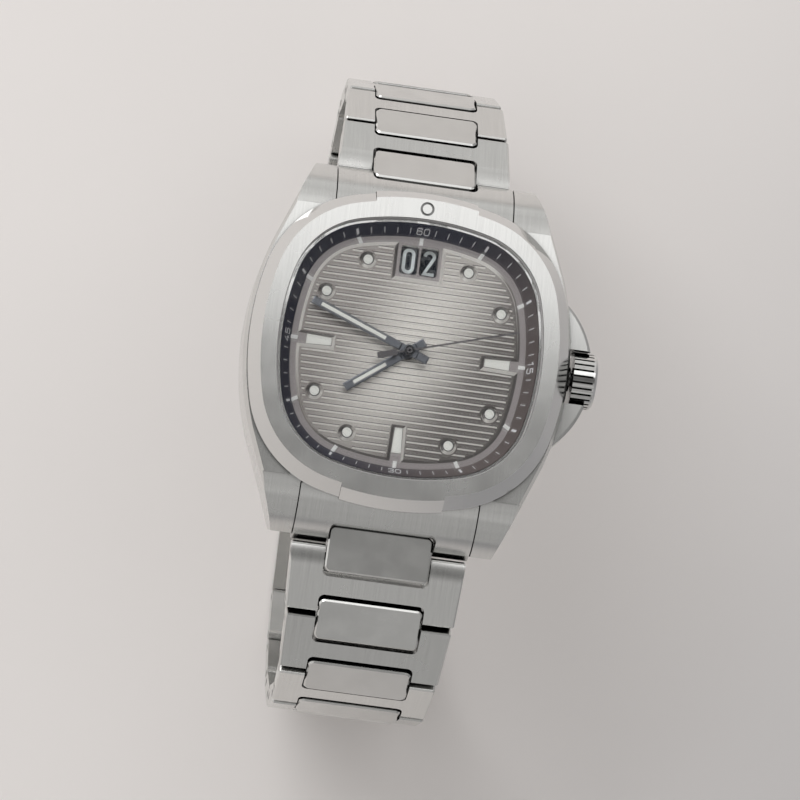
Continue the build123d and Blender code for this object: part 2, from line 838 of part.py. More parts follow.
def case_outline():
    """Draw the case and its four lugs in plan."""
    waist_x = case_half_width - case_side_radius + sqrt(case_side_radius ** 2 - case_waist_y ** 2)
    with BuildLine() as outline:
        for side_x in (1, -1):
            ThreePointArc((side_x * waist_x, -case_waist_y), (side_x * case_half_width, 0),
                          (side_x * waist_x, case_waist_y))
            for side_y in (1, -1):
                Line((side_x * waist_x, side_y * case_waist_y), (side_x * lug_tip_x, side_y * lug_tip_y))
        for side_y in (1, -1):
            Line((-lug_tip_x, side_y * lug_tip_y), (lug_tip_x, side_y * lug_tip_y))
    make_face(outline.edges())


def case_profile():
    """Draw the case and its lugs from the side."""
    with BuildLine() as outline:
        for side in (1, -1):
            Line((0, bezel_seat_height), (side * lug_shoulder_y, bezel_seat_height))
            Line((side * lug_shoulder_y, bezel_seat_height), (side * lug_shoulder_y, lug_shoulder_height))
            ThreePointArc((side * lug_shoulder_y, lug_shoulder_height),
                          (side * lug_crown_y, lug_crown_height),
                          (side * lug_tip_y, lug_tip_height))
            Line((side * lug_tip_y, lug_tip_height), (side * (lug_tip_y - lug_foot_inset), lug_foot_height))
            Line((side * (lug_tip_y - lug_foot_inset), lug_foot_height),
                 (side * lug_heel_y, case_floor_height))
            Line((side * lug_heel_y, case_floor_height), (0, case_floor_height))
    make_face(outline.edges())


def crown_guard(side):
    """Draw one crown guard in plan."""
    middle_x = (guard_root_x + guard_tip_x) / 2 + guard_bulge
    middle_y = side * ((guard_root_y + guard_tip_y) / 2 + guard_bulge)
    with BuildLine() as outline:
        ThreePointArc((guard_root_x, side * guard_root_y), (middle_x, middle_y),
                      (guard_tip_x, side * guard_tip_y))
        Line((guard_tip_x, side * guard_tip_y), (guard_root_x, side * guard_tip_y))
        Line((guard_root_x, side * guard_tip_y), (guard_root_x, side * guard_root_y))
    make_face(outline.edges())


def mid_case():
    """Middle case with four lugs, the crown guards, the cavity and the holes of stem and bars."""
    depth = bezel_seat_height - lug_foot_height
    with BuildPart() as guards:
        with BuildSketch(level(guard_foot_height)):
            crown_guard(1)
            crown_guard(-1)
        extrude(amount=guard_top_height - guard_foot_height)
        chamfer(guards.edges().filter_by(GeomType.CIRCLE), guard_edge)
    with BuildPart() as piece:
        with BuildSketch(level(lug_foot_height)):
            case_outline()
        extrude(amount=depth - case_bevel_drop)
        with BuildSketch(level(bezel_seat_height - case_bevel_drop)):
            case_outline()
        extrude(amount=case_bevel_drop, taper=degrees(atan2(case_bevel_width, case_bevel_drop)))
        with BuildSketch(across()):
            case_profile()
        extrude(amount=2 * case_half_width, both=True, mode=Mode.INTERSECT)
        add(guards.part)
        for side in (1, -1):
            with BuildSketch(level(lug_foot_height - cut_overrun)):
                with Locations((0, side * (lug_gap_back_y + lug_tip_y / 2))):
                    Rectangle(2 * lug_gap_half_width, lug_tip_y)
            extrude(amount=depth + 2 * cut_overrun, mode=Mode.SUBTRACT)
            with BuildSketch(across(0, side * strap_bar_y, strap_bar_height)):
                Circle(strap_bar_tip_radius + running_fit)
            extrude(amount=lug_gap_half_width + strap_bar_tip_length, both=True, mode=Mode.SUBTRACT)
        with BuildSketch(level(cavity_floor_height)):
            cushion(cavity_outset)
        extrude(amount=bezel_seat_height - cavity_floor_height + cut_overrun, mode=Mode.SUBTRACT)
        with BuildSketch(level(case_floor_height - cut_overrun)):
            Circle(back_spigot_radius)
        extrude(amount=cavity_floor_height - case_floor_height + 2 * cut_overrun, mode=Mode.SUBTRACT)
        with BuildSketch(level(case_floor_height)):
            with screw_places():
                Circle(back_screw_shank_radius)
        extrude(amount=back_screw_length, mode=Mode.SUBTRACT)
        with BuildSketch(across(0, 0, crown_height)):
            Circle(tube_radius)
        extrude(amount=crown_inner_x, mode=Mode.SUBTRACT)
        with BuildSketch(across(crown_inner_x, 0, crown_height)):
            Circle(crown_radius + face_gap)
        extrude(amount=2 * crown_length, mode=Mode.SUBTRACT)
    with BuildPart() as tube:
        with BuildSketch(across(crown_inner_x, 0, crown_height)):
            Circle(tube_radius)
            Circle(stem_radius + running_fit, mode=Mode.SUBTRACT)
        extrude(amount=opening_half_width - crown_inner_x)
    finish("mid_case", Compound(children=[piece.part, tube.part]))


# Crown and stem

def crown():
    """Fluted crown with a plain ring at its outer end."""
    with BuildPart() as piece:
        with BuildSketch(across(crown_inner_x + face_gap, 0, crown_height)):
            Circle(crown_radius)
        extrude(amount=crown_length)
        chamfer(piece.edges().sort_by(Axis.X)[-1], crown_cap_bevel)
        with BuildSketch(across(crown_inner_x + face_gap, 0, crown_height)):
            with PolarLocations(crown_radius, crown_flutes):
                Rectangle(2 * crown_flute_depth, crown_flute_width)
        extrude(amount=crown_length - crown_ring, mode=Mode.SUBTRACT)
        with BuildSketch(across(crown_inner_x + face_gap, 0, crown_height)):
            Circle(stem_radius + running_fit)
        extrude(amount=crown_length / 2, mode=Mode.SUBTRACT)
    finish("crown", piece.part)


def winding_stem():
    """Stem from the movement through the case tube into the crown."""
    with BuildPart() as piece:
        with BuildSketch(across(stem_inner_x, 0, crown_height)):
            Circle(stem_radius)
        extrude(amount=crown_inner_x + face_gap + crown_length / 2 - seat_gap - stem_inner_x)
        chamfer(piece.edges().sort_by(Axis.X)[0], stem_radius / 4)
    finish("winding_stem", piece.part)


# Caseback

def screw_places():
    """A polar pattern of the caseback's screws."""
    return PolarLocations(back_screw_circle, back_screw_count, start_angle=90 / back_screw_count)


def caseback():
    """Round screwed back with a spigot in the case and a window."""
    floor = case_floor_height - back_flange
    with BuildPart() as piece:
        with BuildSketch(level(floor)):
            Circle(back_radius)
        extrude(amount=back_flange)
        chamfer(piece.edges().sort_by(Axis.Z)[0], back_bevel)
        with BuildSketch(level(case_floor_height)):
            Circle(back_spigot_radius - back_gasket_width - 2 * seat_gap)
        extrude(amount=back_spigot_length)
        with BuildSketch(level(floor - cut_overrun)):
            Circle(back_window_radius - back_window_ledge)
        extrude(amount=back_flange + back_spigot_length + 2 * cut_overrun, mode=Mode.SUBTRACT)
        with BuildSketch(level(floor + back_flange / 2)):
            Circle(back_window_radius)
        extrude(amount=back_flange + back_spigot_length, mode=Mode.SUBTRACT)
        with BuildSketch(level(floor)):
            with screw_places():
                Circle(back_screw_head_radius + seat_gap)
        extrude(amount=back_screw_head_height, mode=Mode.SUBTRACT)
        with BuildSketch(level(floor)):
            with screw_places():
                Circle(back_screw_shank_radius + seat_gap)
        extrude(amount=back_flange + cut_overrun, mode=Mode.SUBTRACT)
    finish("caseback", piece.part)


def caseback_window():
    """Sapphire window of the back, seated on the ledge."""
    with BuildPart() as piece:
        with BuildSketch(level(case_floor_height - back_flange / 2)):
            Circle(back_window_radius - seat_gap)
        extrude(amount=back_window_thickness)
    finish("caseback_window", piece.part)


def caseback_screws():
    """Slotted screws of the caseback, as a group of separate solids."""
    floor = case_floor_height - back_flange
    with BuildPart() as piece:
        with BuildSketch(level(floor)):
            with screw_places():
                Circle(back_screw_head_radius)
        extrude(amount=back_screw_head_height)
        with BuildSketch(level(floor)):
            with screw_places():
                Circle(back_screw_shank_radius)
        extrude(amount=back_flange + back_screw_length)
        with BuildSketch(level(floor)):
            with screw_places():
                Rectangle(3 * back_screw_head_radius, back_screw_slot)
        extrude(amount=back_screw_slot, mode=Mode.SUBTRACT)
    finish("caseback_screws", piece.part)


# Bracelet

notch_half_width = centre_half_width + notch_side_gap
near_notch_wall = centre_far_reach + notch_front_gap
far_notch_wall = centre_near_reach + notch_back_gap


def rounded_end(pin_y, way, top, reach):
    """Draw half of a link's side view: from the top edge round the pin to the bottom edge."""
    low = reach * cos(radians(30))
    ThreePointArc((pin_y + way * reach, 0), (pin_y + way * low, -link_half_thickness / 2),
                  (pin_y, -link_half_thickness))
    Line((pin_y + way * reach, 0), (pin_y + way * reach, top - link_end_fillet))
    ThreePointArc((pin_y + way * reach, top - link_end_fillet),
                  (pin_y + way * (reach - link_end_fillet * (1 - sin(radians(45)))),
                   top - link_end_fillet * (1 - sin(radians(45)))),
                  (pin_y + way * (reach - link_end_fillet), top))


def link_profile(pitch, top, near_reach, far_reach, drop):
    """Draw a link from the side between its two pins, with its near end curved down by a drop."""
    start_y = link_end_fillet - near_reach
    with BuildLine() as outline:
        rounded_end(0, -1, top - drop, near_reach)
        rounded_end(pitch, 1, top, far_reach)
        Line((0, -link_half_thickness), (pitch, -link_half_thickness))
        if drop > 0:
            radius = (first_link_run ** 2 + drop ** 2) / (2 * drop)
            half_turn = asin(first_link_run / radius) / 2
            flat_y = start_y + first_link_run
            ThreePointArc((start_y, top - drop),
                          (flat_y - radius * sin(half_turn), top - radius * (1 - cos(half_turn))),
                          (flat_y, top))
            start_y = flat_y
        Line((start_y, top), (pitch + far_reach - link_end_fillet, top))
    make_face(outline.edges())


def half_width_at(run):
    """Half width of the bracelet after a run of pins' pitches from the end link."""
    return max(bracelet_half_width - bracelet_taper * run, bracelet_least_half_width)


def pin(frame, pin_y, half_length, radius=pin_radius):
    """A plain pin across a link, as a solid of its own."""
    with BuildPart() as rod:
        with BuildSketch(beside(frame)):
            with Locations((pin_y, 0)):
                Circle(radius)
        extrude(amount=half_length, both=True)
    return rod.part


def blank(frame, corners, top, edge, corner_radius):
    """A block with a link's outline in plan and a bevel round its top edge."""
    layers = ((-link_half_thickness, link_half_thickness + top - edge, 0), (top - edge, edge, 45))
    with BuildPart() as block:
        for foot, height, slope in layers:
            with BuildSketch(raised(frame, foot)) as plan:
                with BuildLine():
                    Polyline(*corners, close=True)
                make_face()
                fillet(plan.vertices(), corner_radius)
            extrude(amount=height, taper=slope)
    return block.part


def h_link(name, side, place, turn, run, drop):
    """H-shaped outer link with a notch at each end, and the two pins that it carries."""
    frame = link_frame(side, place, turn)
    near_half, far_half = half_width_at(run), half_width_at(run + link_pitch)
    near_y, far_y = -link_near_reach, link_pitch + link_far_reach
    notches = ((near_y, near_notch_wall - near_y), (far_y, far_notch_wall + link_far_reach))
    corners = ((-near_half, near_y), (near_half, near_y), (far_half, far_y), (-far_half, far_y))
    plan = blank(frame, corners, link_half_thickness, link_side_edge, link_corner)
    with BuildPart() as piece:
        with BuildSketch(beside(frame)):
            link_profile(link_pitch, link_half_thickness, link_near_reach, link_far_reach, drop)
        extrude(amount=bracelet_half_width, both=True)
        add(plan, mode=Mode.INTERSECT)
        with BuildSketch(frame):
            for end_y, length in notches:
                with Locations((0, end_y)):
                    RectangleRounded(2 * notch_half_width, 2 * length, centre_corner)
        extrude(amount=link_pitch, both=True, mode=Mode.SUBTRACT)
        with BuildSketch(beside(frame)):
            with Locations((0, 0), (link_pitch, 0)):
                Circle(pin_radius)
        extrude(amount=bracelet_half_width, both=True, mode=Mode.SUBTRACT)
    pins = [pin(frame, 0, near_half - pin_inset), pin(frame, link_pitch, far_half - pin_inset)]
    finish(name, Compound(children=[piece.part, *pins]))


def centre_link(name, side, place, turn, near_reach, with_pin):
    """Polished centre link in the notches of its two neighbours."""
    frame = link_frame(side, place, turn)
    top = link_half_thickness + centre_proud
    half, near_y, far_y = centre_half_width, -near_reach, centre_pitch + centre_far_reach
    corners = ((-half, near_y), (half, near_y), (half, far_y), (-half, far_y))
    plan = blank(frame, corners, top, centre_edge, centre_corner)
    with BuildPart() as piece:
        with BuildSketch(beside(frame)):
            link_profile(centre_pitch, top, near_reach, centre_far_reach, 0.0)
        extrude(amount=centre_half_width, both=True)
        add(plan, mode=Mode.INTERSECT)
        with BuildSketch(beside(frame)):
            with Locations((0, 0), (centre_pitch, 0)):
                Circle(pin_radius + running_fit)
        extrude(amount=bracelet_half_width, both=True, mode=Mode.SUBTRACT)
    if with_pin:
        finish(name, Compound(children=[piece.part, pin(frame, 0, centre_half_width)]))
    else:
        finish(name, piece.part)


def end_link(name, side):
    """End link between the lugs, with its sprung bar and, at 12, the first pin of the bracelet."""
    frame = Plane(origin=(0, 0, dial_height), x_dir=(side, 0, 0), z_dir=(0, 0, 1))
    back_y = lug_gap_back_y + face_gap
    wall_y = end_pin_y - first_centre_near_reach - notch_back_gap
    foot_height = end_pin_height - link_half_thickness
    with BuildPart() as piece:
        with BuildSketch(beside(frame)):
            with BuildLine():
                top = ThreePointArc((lug_shoulder_y, lug_shoulder_height), (lug_crown_y, lug_crown_height),
                                    (lug_tip_y, lug_tip_height))
                Line(top @ 1, (end_pin_y + link_far_reach, end_pin_height))
                ThreePointArc((end_pin_y + link_far_reach, end_pin_height),
                              (end_pin_y + link_far_reach * cos(radians(45)),
                               end_pin_height - link_half_thickness * sin(radians(45))),
                              (end_pin_y, foot_height))
                Line((end_pin_y, foot_height), (lug_shoulder_y, foot_height))
                Line((lug_shoulder_y, foot_height), top @ 0)
            make_face()
        extrude(amount=lug_gap_half_width - face_gap, both=True)
        with BuildSketch(frame.offset(foot_height - cut_overrun)):
            with Locations((0, back_y - lug_tip_y / 2)):
                Rectangle(2 * lug_tip_x, lug_tip_y)
        extrude(amount=-foot_height + 3 * cut_overrun, mode=Mode.SUBTRACT)
        with BuildSketch(frame.offset(foot_height - cut_overrun)):
            with Locations((0, lug_tip_y + wall_y)):
                Rectangle(2 * notch_half_width, 2 * lug_tip_y)
        extrude(amount=end_lip_foot - foot_height + cut_overrun, mode=Mode.SUBTRACT)
        with BuildSketch(frame.offset(end_lip_foot)):
            with Locations((0, lug_tip_y + end_lip_y)):
                RectangleRounded(2 * notch_half_width, 2 * lug_tip_y, centre_corner)
        extrude(amount=-end_lip_foot + 3 * cut_overrun, mode=Mode.SUBTRACT)
        with BuildSketch(beside(frame)):
            with Locations((end_pin_y, end_pin_height)):
                Circle(pin_radius)
            with Locations((strap_bar_y, strap_bar_height)):
                Circle(strap_bar_radius)
        extrude(amount=lug_tip_x, both=True, mode=Mode.SUBTRACT)
    with BuildPart() as bar:
        with BuildSketch(beside(frame)):
            with Locations((strap_bar_y, strap_bar_height)):
                Circle(strap_bar_radius)
        extrude(amount=lug_gap_half_width - face_gap, both=True)
        with BuildSketch(beside(frame)):
            with Locations((strap_bar_y, strap_bar_height)):
                Circle(strap_bar_tip_radius)
        extrude(amount=lug_gap_half_width + strap_bar_tip_length - face_gap, both=True)
    pieces = [piece.part, bar.part]
    if side > 0:
        pin_frame = frame.offset(end_pin_height)
        pieces.append(pin(pin_frame, end_pin_y, lug_gap_half_width - face_gap - pin_inset))
    finish(name, Compound(children=pieces))


def bracelet_half(clock, side, pins, turns):
    """All links of one half, from the end link to the clasp, numbered from the head."""
    end_link(f"end_link_{clock}", side)
    run = 0.0
    for number in range(len(turns) // 2):
        first = 2 * number
        open_pivot = side < 0 and number == 0
        reach = centre_near_reach if number else first_centre_near_reach
        drop = 0.0 if number else first_link_drop
        centre_link(f"centre_link_{clock}_{number + 1}", side, pins[first], turns[first], reach, open_pivot)
        run += centre_pitch
        h_link(f"h_link_{clock}_{number + 1}", side, pins[first + 1], turns[first + 1], run, drop)
        run += link_pitch


# Clasp

ear_inner_x = arm_half_width + face_gap
ear_outer_x = ear_inner_x + ear_width
plate_pivot_y = clasp_half - arm_to_link_gap
plate_floor = arm_pivot_height + arm_half_thickness + catch_floor_gap


def ears(frame, pivot_y, base_height):
    """A pair of ears with round ends about a pivot, standing on a height."""
    low, high = sorted((base_height, arm_pivot_height))
    for way in (1, -1):
        with BuildSketch(beside(frame, way * (ear_inner_x + ear_width / 2))) as ear:
            with Locations((pivot_y, (low + high) / 2)):
                Rectangle(2 * arm_knuckle_radius, high - low)
            with Locations((pivot_y, arm_pivot_height)):
                Circle(arm_knuckle_radius)
            with Locations((pivot_y, arm_pivot_height)):
                Circle(arm_pin_radius + running_fit, mode=Mode.SUBTRACT)
        extrude(ear.sketch, amount=ear_width / 2, both=True)


def clasp_cover(name, side):
    """Outer half of the clasp, with the tongue that joins the last link, two ears and a hook."""
    frame = clasp_frame(side)
    start_y = cover_gap
    body_end = clasp_half - link_far_reach - cover_tongue_gap
    half_width = bracelet_least_half_width
    with BuildPart() as piece:
        with BuildSketch(raised(frame, -link_half_thickness)):
            with Locations((0, (start_y + body_end) / 2)):
                Rectangle(2 * half_width, body_end - start_y)
        extrude(amount=link_half_thickness + cover_top)
        chamfer(piece.faces().sort_by(Axis.Z)[0].edges(), cover_edge)
        with BuildSketch(beside(frame)):
            with BuildLine():
                Line((body_end - cover_edge, -link_half_thickness), (clasp_half, -link_half_thickness))
                ThreePointArc((clasp_half, -link_half_thickness), (clasp_half + centre_near_reach, 0),
                              (clasp_half, link_half_thickness))
                Line((clasp_half, link_half_thickness),
                     (clasp_half - link_half_thickness, link_half_thickness))
                Line((clasp_half - link_half_thickness, link_half_thickness),
                     (body_end - cover_edge, cover_top))
                Line((body_end - cover_edge, cover_top), (body_end - cover_edge, -link_half_thickness))
            make_face()
        extrude(amount=centre_half_width, both=True)
        with BuildSketch(beside(frame)):
            with Locations((clasp_half, 0)):
                Circle(pin_radius + running_fit)
        extrude(amount=bracelet_half_width, both=True, mode=Mode.SUBTRACT)
        ears(frame, arm_pivot_y, 0.0)
        with BuildSketch(raised(frame, 0)):
            with Locations((0, hook_y)):
                Rectangle(2 * hook_half_width, hook_thickness)
        extrude(amount=cover_top + hook_height)
    finish(name, piece.part)


def clasp_arm(name, side):
    """Folding arm between a cover and the plate, with its two pins."""
    frame = clasp_frame(side)
    with BuildPart() as piece:
        with BuildSketch(beside(frame)):
            with Locations(((arm_pivot_y + plate_pivot_y) / 2, arm_pivot_height)):
                Rectangle(plate_pivot_y - arm_pivot_y, 2 * arm_half_thickness)
            with Locations((arm_pivot_y, arm_pivot_height), (plate_pivot_y, arm_pivot_height)):
                Circle(arm_knuckle_radius)
            with Locations((arm_pivot_y, arm_pivot_height), (plate_pivot_y, arm_pivot_height)):
                Circle(arm_pin_radius, mode=Mode.SUBTRACT)
        extrude(amount=arm_half_width, both=True)
    pivot_frame = raised(frame, arm_pivot_height)
    pins = [pin(pivot_frame, y, ear_outer_x, arm_pin_radius) for y in (arm_pivot_y, plate_pivot_y)]
    finish(name, Compound(children=[piece.part, *pins]))


def clasp_plate():
    """Inner plate on the wrist side, with an ear pair at each end and the catch block in its middle."""
    frame = clasp_frame(1)
    sheet_end = plate_pivot_y - arm_knuckle_radius - plate_neck
    wing_start = plate_pivot_y - wing_length
    with BuildPart() as piece:
        with BuildSketch(raised(frame, plate_floor + plate_lift / 2)):
            Rectangle(2 * arm_half_width, 2 * sheet_end)
        extrude(amount=plate_sheet)
        for side in (1, -1):
            half = clasp_frame(side)
            for way in (1, -1):
                with BuildSketch(raised(half, plate_floor + plate_lift / 2)):
                    with Locations((way * (ear_inner_x + ear_width / 2), (wing_start + plate_pivot_y) / 2)):
                        Rectangle(ear_width, plate_pivot_y - wing_start)
                    with Locations((way * (ear_outer_x - ear_base), (wing_start + sheet_end) / 2)):
                        Rectangle(2 * ear_base, sheet_end - wing_start)
                extrude(amount=plate_sheet)
            ears(half, plate_pivot_y, plate_floor + plate_lift / 2 + plate_sheet)
        with BuildSketch(raised(frame, cover_top + catch_floor_gap)):
            Rectangle(2 * catch_half_width, 2 * catch_half_length)
        extrude(amount=catch_height)
        with BuildSketch(raised(frame, cover_top + catch_floor_gap)):
            for side in (1, -1):
                with Locations((0, side * hook_y)):
                    Rectangle(2 * (hook_half_width + face_gap), hook_thickness + 2 * face_gap)
        extrude(amount=hook_height + face_gap, mode=Mode.SUBTRACT)
        with BuildSketch(Plane(origin=frame.from_local_coords(Vector(0, 0, pusher_height)),
                               x_dir=frame.y_dir, z_dir=frame.x_dir)):
            Circle(pusher_radius + running_fit)
        extrude(amount=catch_half_width + cut_overrun, both=True, mode=Mode.SUBTRACT)
    finish("clasp_plate", piece.part)


def pusher(name, way):
    """Push button of the catch, sliding across the clasp."""
    frame = clasp_frame(way)
    cap_x = catch_half_width + pusher_rest_gap
    start = frame.from_local_coords(Vector(pusher_inner_x, 0, pusher_height))
    cap_start = frame.from_local_coords(Vector(cap_x, 0, pusher_height))
    with BuildPart() as piece:
        with BuildSketch(Plane(origin=start, x_dir=frame.y_dir, z_dir=frame.x_dir)):
            Circle(pusher_radius)
        extrude(amount=cap_x - pusher_inner_x)
        with BuildSketch(Plane(origin=cap_start, x_dir=frame.y_dir, z_dir=frame.x_dir)):
            RectangleRounded(2 * catch_half_length, 2 * pusher_cap_radius, pusher_cap_radius / 2)
        extrude(amount=pusher_cap_length)
    finish(name, piece.part)


def main():
    """Build and write every piece."""
    os.makedirs("parts", exist_ok=True)
    bezel()
    crystal()
    gaskets()
    chapter_ring()
    dial()
    hour_markers()
    date_disc_units()
    date_disc_tens()
    hour_hand()
    minute_hand()
    seconds_hand()
    main_plate()
    mainspring_barrel()
    balance_wheel()
    bridges()
    movement_ring()
    rotor()
    mid_case()
    crown()
    winding_stem()
    caseback()
    caseback_window()
    caseback_screws()
    bracelet_half("12", 1, pins_12, turns_12)
    bracelet_half("6", -1, pins_6, turns_6)
    for clock, side in (("12", 1), ("6", -1)):
        clasp_cover(f"clasp_cover_{clock}", side)
        clasp_arm(f"clasp_arm_{clock}", side)
    clasp_plate()
    pusher("pusher_right", 1)
    pusher("pusher_left", -1)


main()
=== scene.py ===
"""Looks of a cushion case watch on a steel bracelet: finishes, printed scales, stage and camera.

Lengths are in metres in the row frame: X to 3 o'clock, Y to 12 o'clock, Z up. The watch rests
on its clasp, close to Z = 0. Heights in the head are measured from the dial's field.
"""

import json
import math

import bpy
from bpy.props import FloatProperty, FloatVectorProperty, PointerProperty
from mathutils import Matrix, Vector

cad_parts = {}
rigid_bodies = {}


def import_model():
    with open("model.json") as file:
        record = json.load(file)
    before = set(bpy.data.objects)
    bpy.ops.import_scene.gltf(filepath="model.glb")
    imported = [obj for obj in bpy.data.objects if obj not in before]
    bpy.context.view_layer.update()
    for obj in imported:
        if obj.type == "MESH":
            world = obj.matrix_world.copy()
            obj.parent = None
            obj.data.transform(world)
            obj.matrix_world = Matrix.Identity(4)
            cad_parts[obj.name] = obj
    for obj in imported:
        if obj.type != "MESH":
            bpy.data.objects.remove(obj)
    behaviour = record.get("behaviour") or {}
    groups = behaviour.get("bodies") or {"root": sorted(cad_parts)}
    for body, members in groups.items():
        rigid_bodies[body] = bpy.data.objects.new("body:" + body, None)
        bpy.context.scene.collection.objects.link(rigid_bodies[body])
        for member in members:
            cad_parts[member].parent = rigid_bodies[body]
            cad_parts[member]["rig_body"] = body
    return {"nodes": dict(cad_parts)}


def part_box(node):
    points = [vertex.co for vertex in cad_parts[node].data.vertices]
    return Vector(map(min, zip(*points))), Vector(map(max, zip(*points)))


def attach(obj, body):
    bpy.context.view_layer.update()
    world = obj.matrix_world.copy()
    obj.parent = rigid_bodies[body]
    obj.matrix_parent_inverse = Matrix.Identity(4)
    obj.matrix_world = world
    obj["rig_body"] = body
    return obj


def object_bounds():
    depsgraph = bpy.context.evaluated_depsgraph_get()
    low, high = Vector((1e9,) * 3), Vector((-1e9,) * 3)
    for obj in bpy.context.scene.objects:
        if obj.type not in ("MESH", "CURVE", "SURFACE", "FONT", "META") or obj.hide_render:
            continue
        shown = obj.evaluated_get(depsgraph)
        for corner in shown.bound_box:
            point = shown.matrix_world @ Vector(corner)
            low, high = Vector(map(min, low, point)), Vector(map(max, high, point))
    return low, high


bl_info = {
    "name": "Cushion Case Watch",
    "version": (1, 0, 0),
    "blender": (4, 5, 0),
    "location": "View3D > Sidebar > Watch",
    "description": "Finishes, printed scales, stage and camera of a cushion case watch",
    "category": "Object",
}

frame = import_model()
cad_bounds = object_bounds()

FULL_TURN = 360
HOURS = 12
MINUTES = 60
BOLD_MINUTES = 5
FIGURE_MINUTES = 15
TENS_FIGURES, UNITS_FIGURES = 4, 10
SHOWN_TENS, SHOWN_UNITS = 0, 2
MARK_STEPS = 4

# Parts of a range over which tones change
NOISE_BAND, FACE_BAND, BRUSH_BAND, FLANK_BAND = (0.3, 0.7), (0.3, 0.7), (0.2, 0.8), (0.08, 0.4)
CRYSTAL_BAND, CREVICE_SHADE_BAND, WINDOW_BAND = (0.3, 0.8), (0.25, 0.8), (0.35, 0.65)
TONE_STEP = 0.00001
SOFT_EDGE = 3 * TONE_STEP

# Shares of a finish's tone, lines or depth; the crevice, groove and flute tones are painted shade
FINE_SHARE, FLUTE_SHADE_TOP = 0.8, 0.3
CREVICE_SHADE_TONE, GROOVE_SHADE_TONE, FLUTE_SHADE_TONE = 0.04, 0.25, 0.03

# Wear of a finish: the band of a noise, then shares of the roughness at the ends of that band
BRUSHED_WEAR = (0.3, 0.75, 0.9, 1.15)
FLUTED_WEAR = (0.25, 0.8, 0.9, 1.6)
POLISHED_WEAR = (0.25, 0.8, 0.8, 1.4)
TURNED_WEAR = (0.3, 0.8, 0.85, 1.25)
GRAINED_WEAR = (0.2, 0.8, 0.85, 1.15)

# Patches, marks and tones of the steel, the crystal and the movement
SMUDGE, HAZE, TURNED_HAZE, FLUTE_HAZE = 0.006, 0.003, 0.002, 0.0012
HAIR_WIDTH, HAIR_DEPTH = 0.00005, 0.000001
CRYSTAL_HAZE, CRYSTAL_ROUGHNESS, CRYSTAL_VEIL = 0.004, (0.01, 0.05), (0.08, 0.12)
STRIPE_DEPTH, STRIPE_ROUGHNESS = 0.00005, (0.24, 0.36)
STROKE_WIDTH, STROKE_DEPTH = 0.00006, 0.000003

# The dial's painted highlight along a ray, the painted shade beside it, its lines, frost and ribs
# with painted light and shade, and the ring round it with its painted reflection
HIGHLIGHT_FALL, HIGHLIGHT_STRETCH, HIGHLIGHT_HALF = 1.3, 0.62, 0.0005
SHADE_REACH, SHADE_TONE = (-0.004, 0.012), 0.5
BRUSH_WIDTH, BRUSH_SHARE, BRUSH_RELIEF = 0.00005, 0.18, 0.3
FROST_SIZE, FROST_DEPTH = 0.00009, 0.000006
RIB_HEIGHT, RIB_HIGHLIGHT = 0.00009, 0.8
DIAL_METAL, PAINTED_LIGHT_METAL, DIAL_ROUGHNESS = 0.7, (0.0, 0.6), (0.34, 0.55)
RING_REFLECTION_SLANT, RING_REFLECTION_REACH, RING_ROUGHNESS = 0.45, (-0.004, 0.016), (0.3, 0.42)
RING_GRAIN, RING_DEPTH, RING_SHINE = 0.00012, 0.000003, 0.2

# Floor with its painted shadow, and camera
FLOOR_HALF, FLOOR_MOTTLE, FLOOR_ROUGHNESS, FLOOR_SHADOW_REACH = 3.0, 0.12, 0.75, (0.005, 0.15)
SENSOR_WIDTH, CLIP_START = 36.0, 0.01

# Sections of turned forms, as (radius, height) shares
CAP_RING_SHARES = ((1.0, 0.0), (0.9, 0.5), (0.72, 0.5), (0.62, 0.05))
CAP_END_SHARES = ((0.28, 0.0), (0.24, 0.7), (0.1, 0.9))
JEWEL_SHARES = ((1.0, 0.0), (0.8, 0.25), (0.3, 0.18))
SETTING_SHARES = ((1.5, 0.0), (1.4, 0.1), (1.0, 0.02))
SCREW_SHARES = ((1.0, 0.0), (1.0, 0.2), (0.85, 0.3))

# Places on the bridges
JEWEL_PLACES = ((0.0052, 0.0046), (-0.0052, 0.0056), (0.0006, 0.0072), (0.0056, -0.0054),
                (-0.0062, -0.0035))
SCREW_PLACES = ((0.0, 0.0096), (-0.0102, 0.0042), (-0.0011, -0.0101), (0.0085, 0.0062))


def length(name, description, default):
    """A length that a user may change, in metres."""
    return FloatProperty(name=name, description=description, default=default, precision=6,
                         unit="LENGTH")


def number(name, description, default, unit="NONE"):
    """A number that may be negative, an angle or a power."""
    return FloatProperty(name=name, description=description, default=default, precision=6,
                         unit=unit)


def position(name, description, default):
    """A place in space, in metres."""
    return FloatVectorProperty(name=name, description=description, default=default, precision=6,
                               subtype="XYZ_LENGTH", unit="LENGTH")


def direction(name, description, default):
    """A direction in the row frame."""
    return FloatVectorProperty(name=name, description=description, default=default,
                               subtype="DIRECTION")


def share(name, description, default, top=1.0):
    """A number from 0 up, such as a roughness."""
    return FloatProperty(name=name, description=description, default=default, min=0.0, max=top)


def colour(name, description, default):
    """A linear colour that a user may change."""
    return FloatVectorProperty(name=name, description=description, default=default, size=3,
                               subtype="COLOR", min=0.0, max=1.0)


class HeadSettings(bpy.types.PropertyGroup):
    """Outline and heights of the head that the printed pieces follow."""

    dial_height: length("Dial height", "Height of the dial's field in the row frame", 0.0505104)
    opening_half_width: length("Opening half width", "Half width of the bezel's opening", 0.01618)
    opening_half_height: length("Opening half height", "Half height of the bezel's opening", 0.0161)
    side_radius: length("Side radius", "Radius of the opening's four sides", 0.0318)
    corner_radius: length("Corner radius", "Radius of the opening's four corners", 0.0101)
    bezel_top: length("Bezel top", "Height of the bezel's brushed top", 0.00338)
    mark_place: length("Mark place", "Distance of the bezel's round mark from the centre", 0.01733)
    mark_radius: length("Mark radius", "Radius of the groove round the mark", 0.00086)
    mark_disc: length("Mark disc", "Radius of the disc inside the groove", 0.00058)


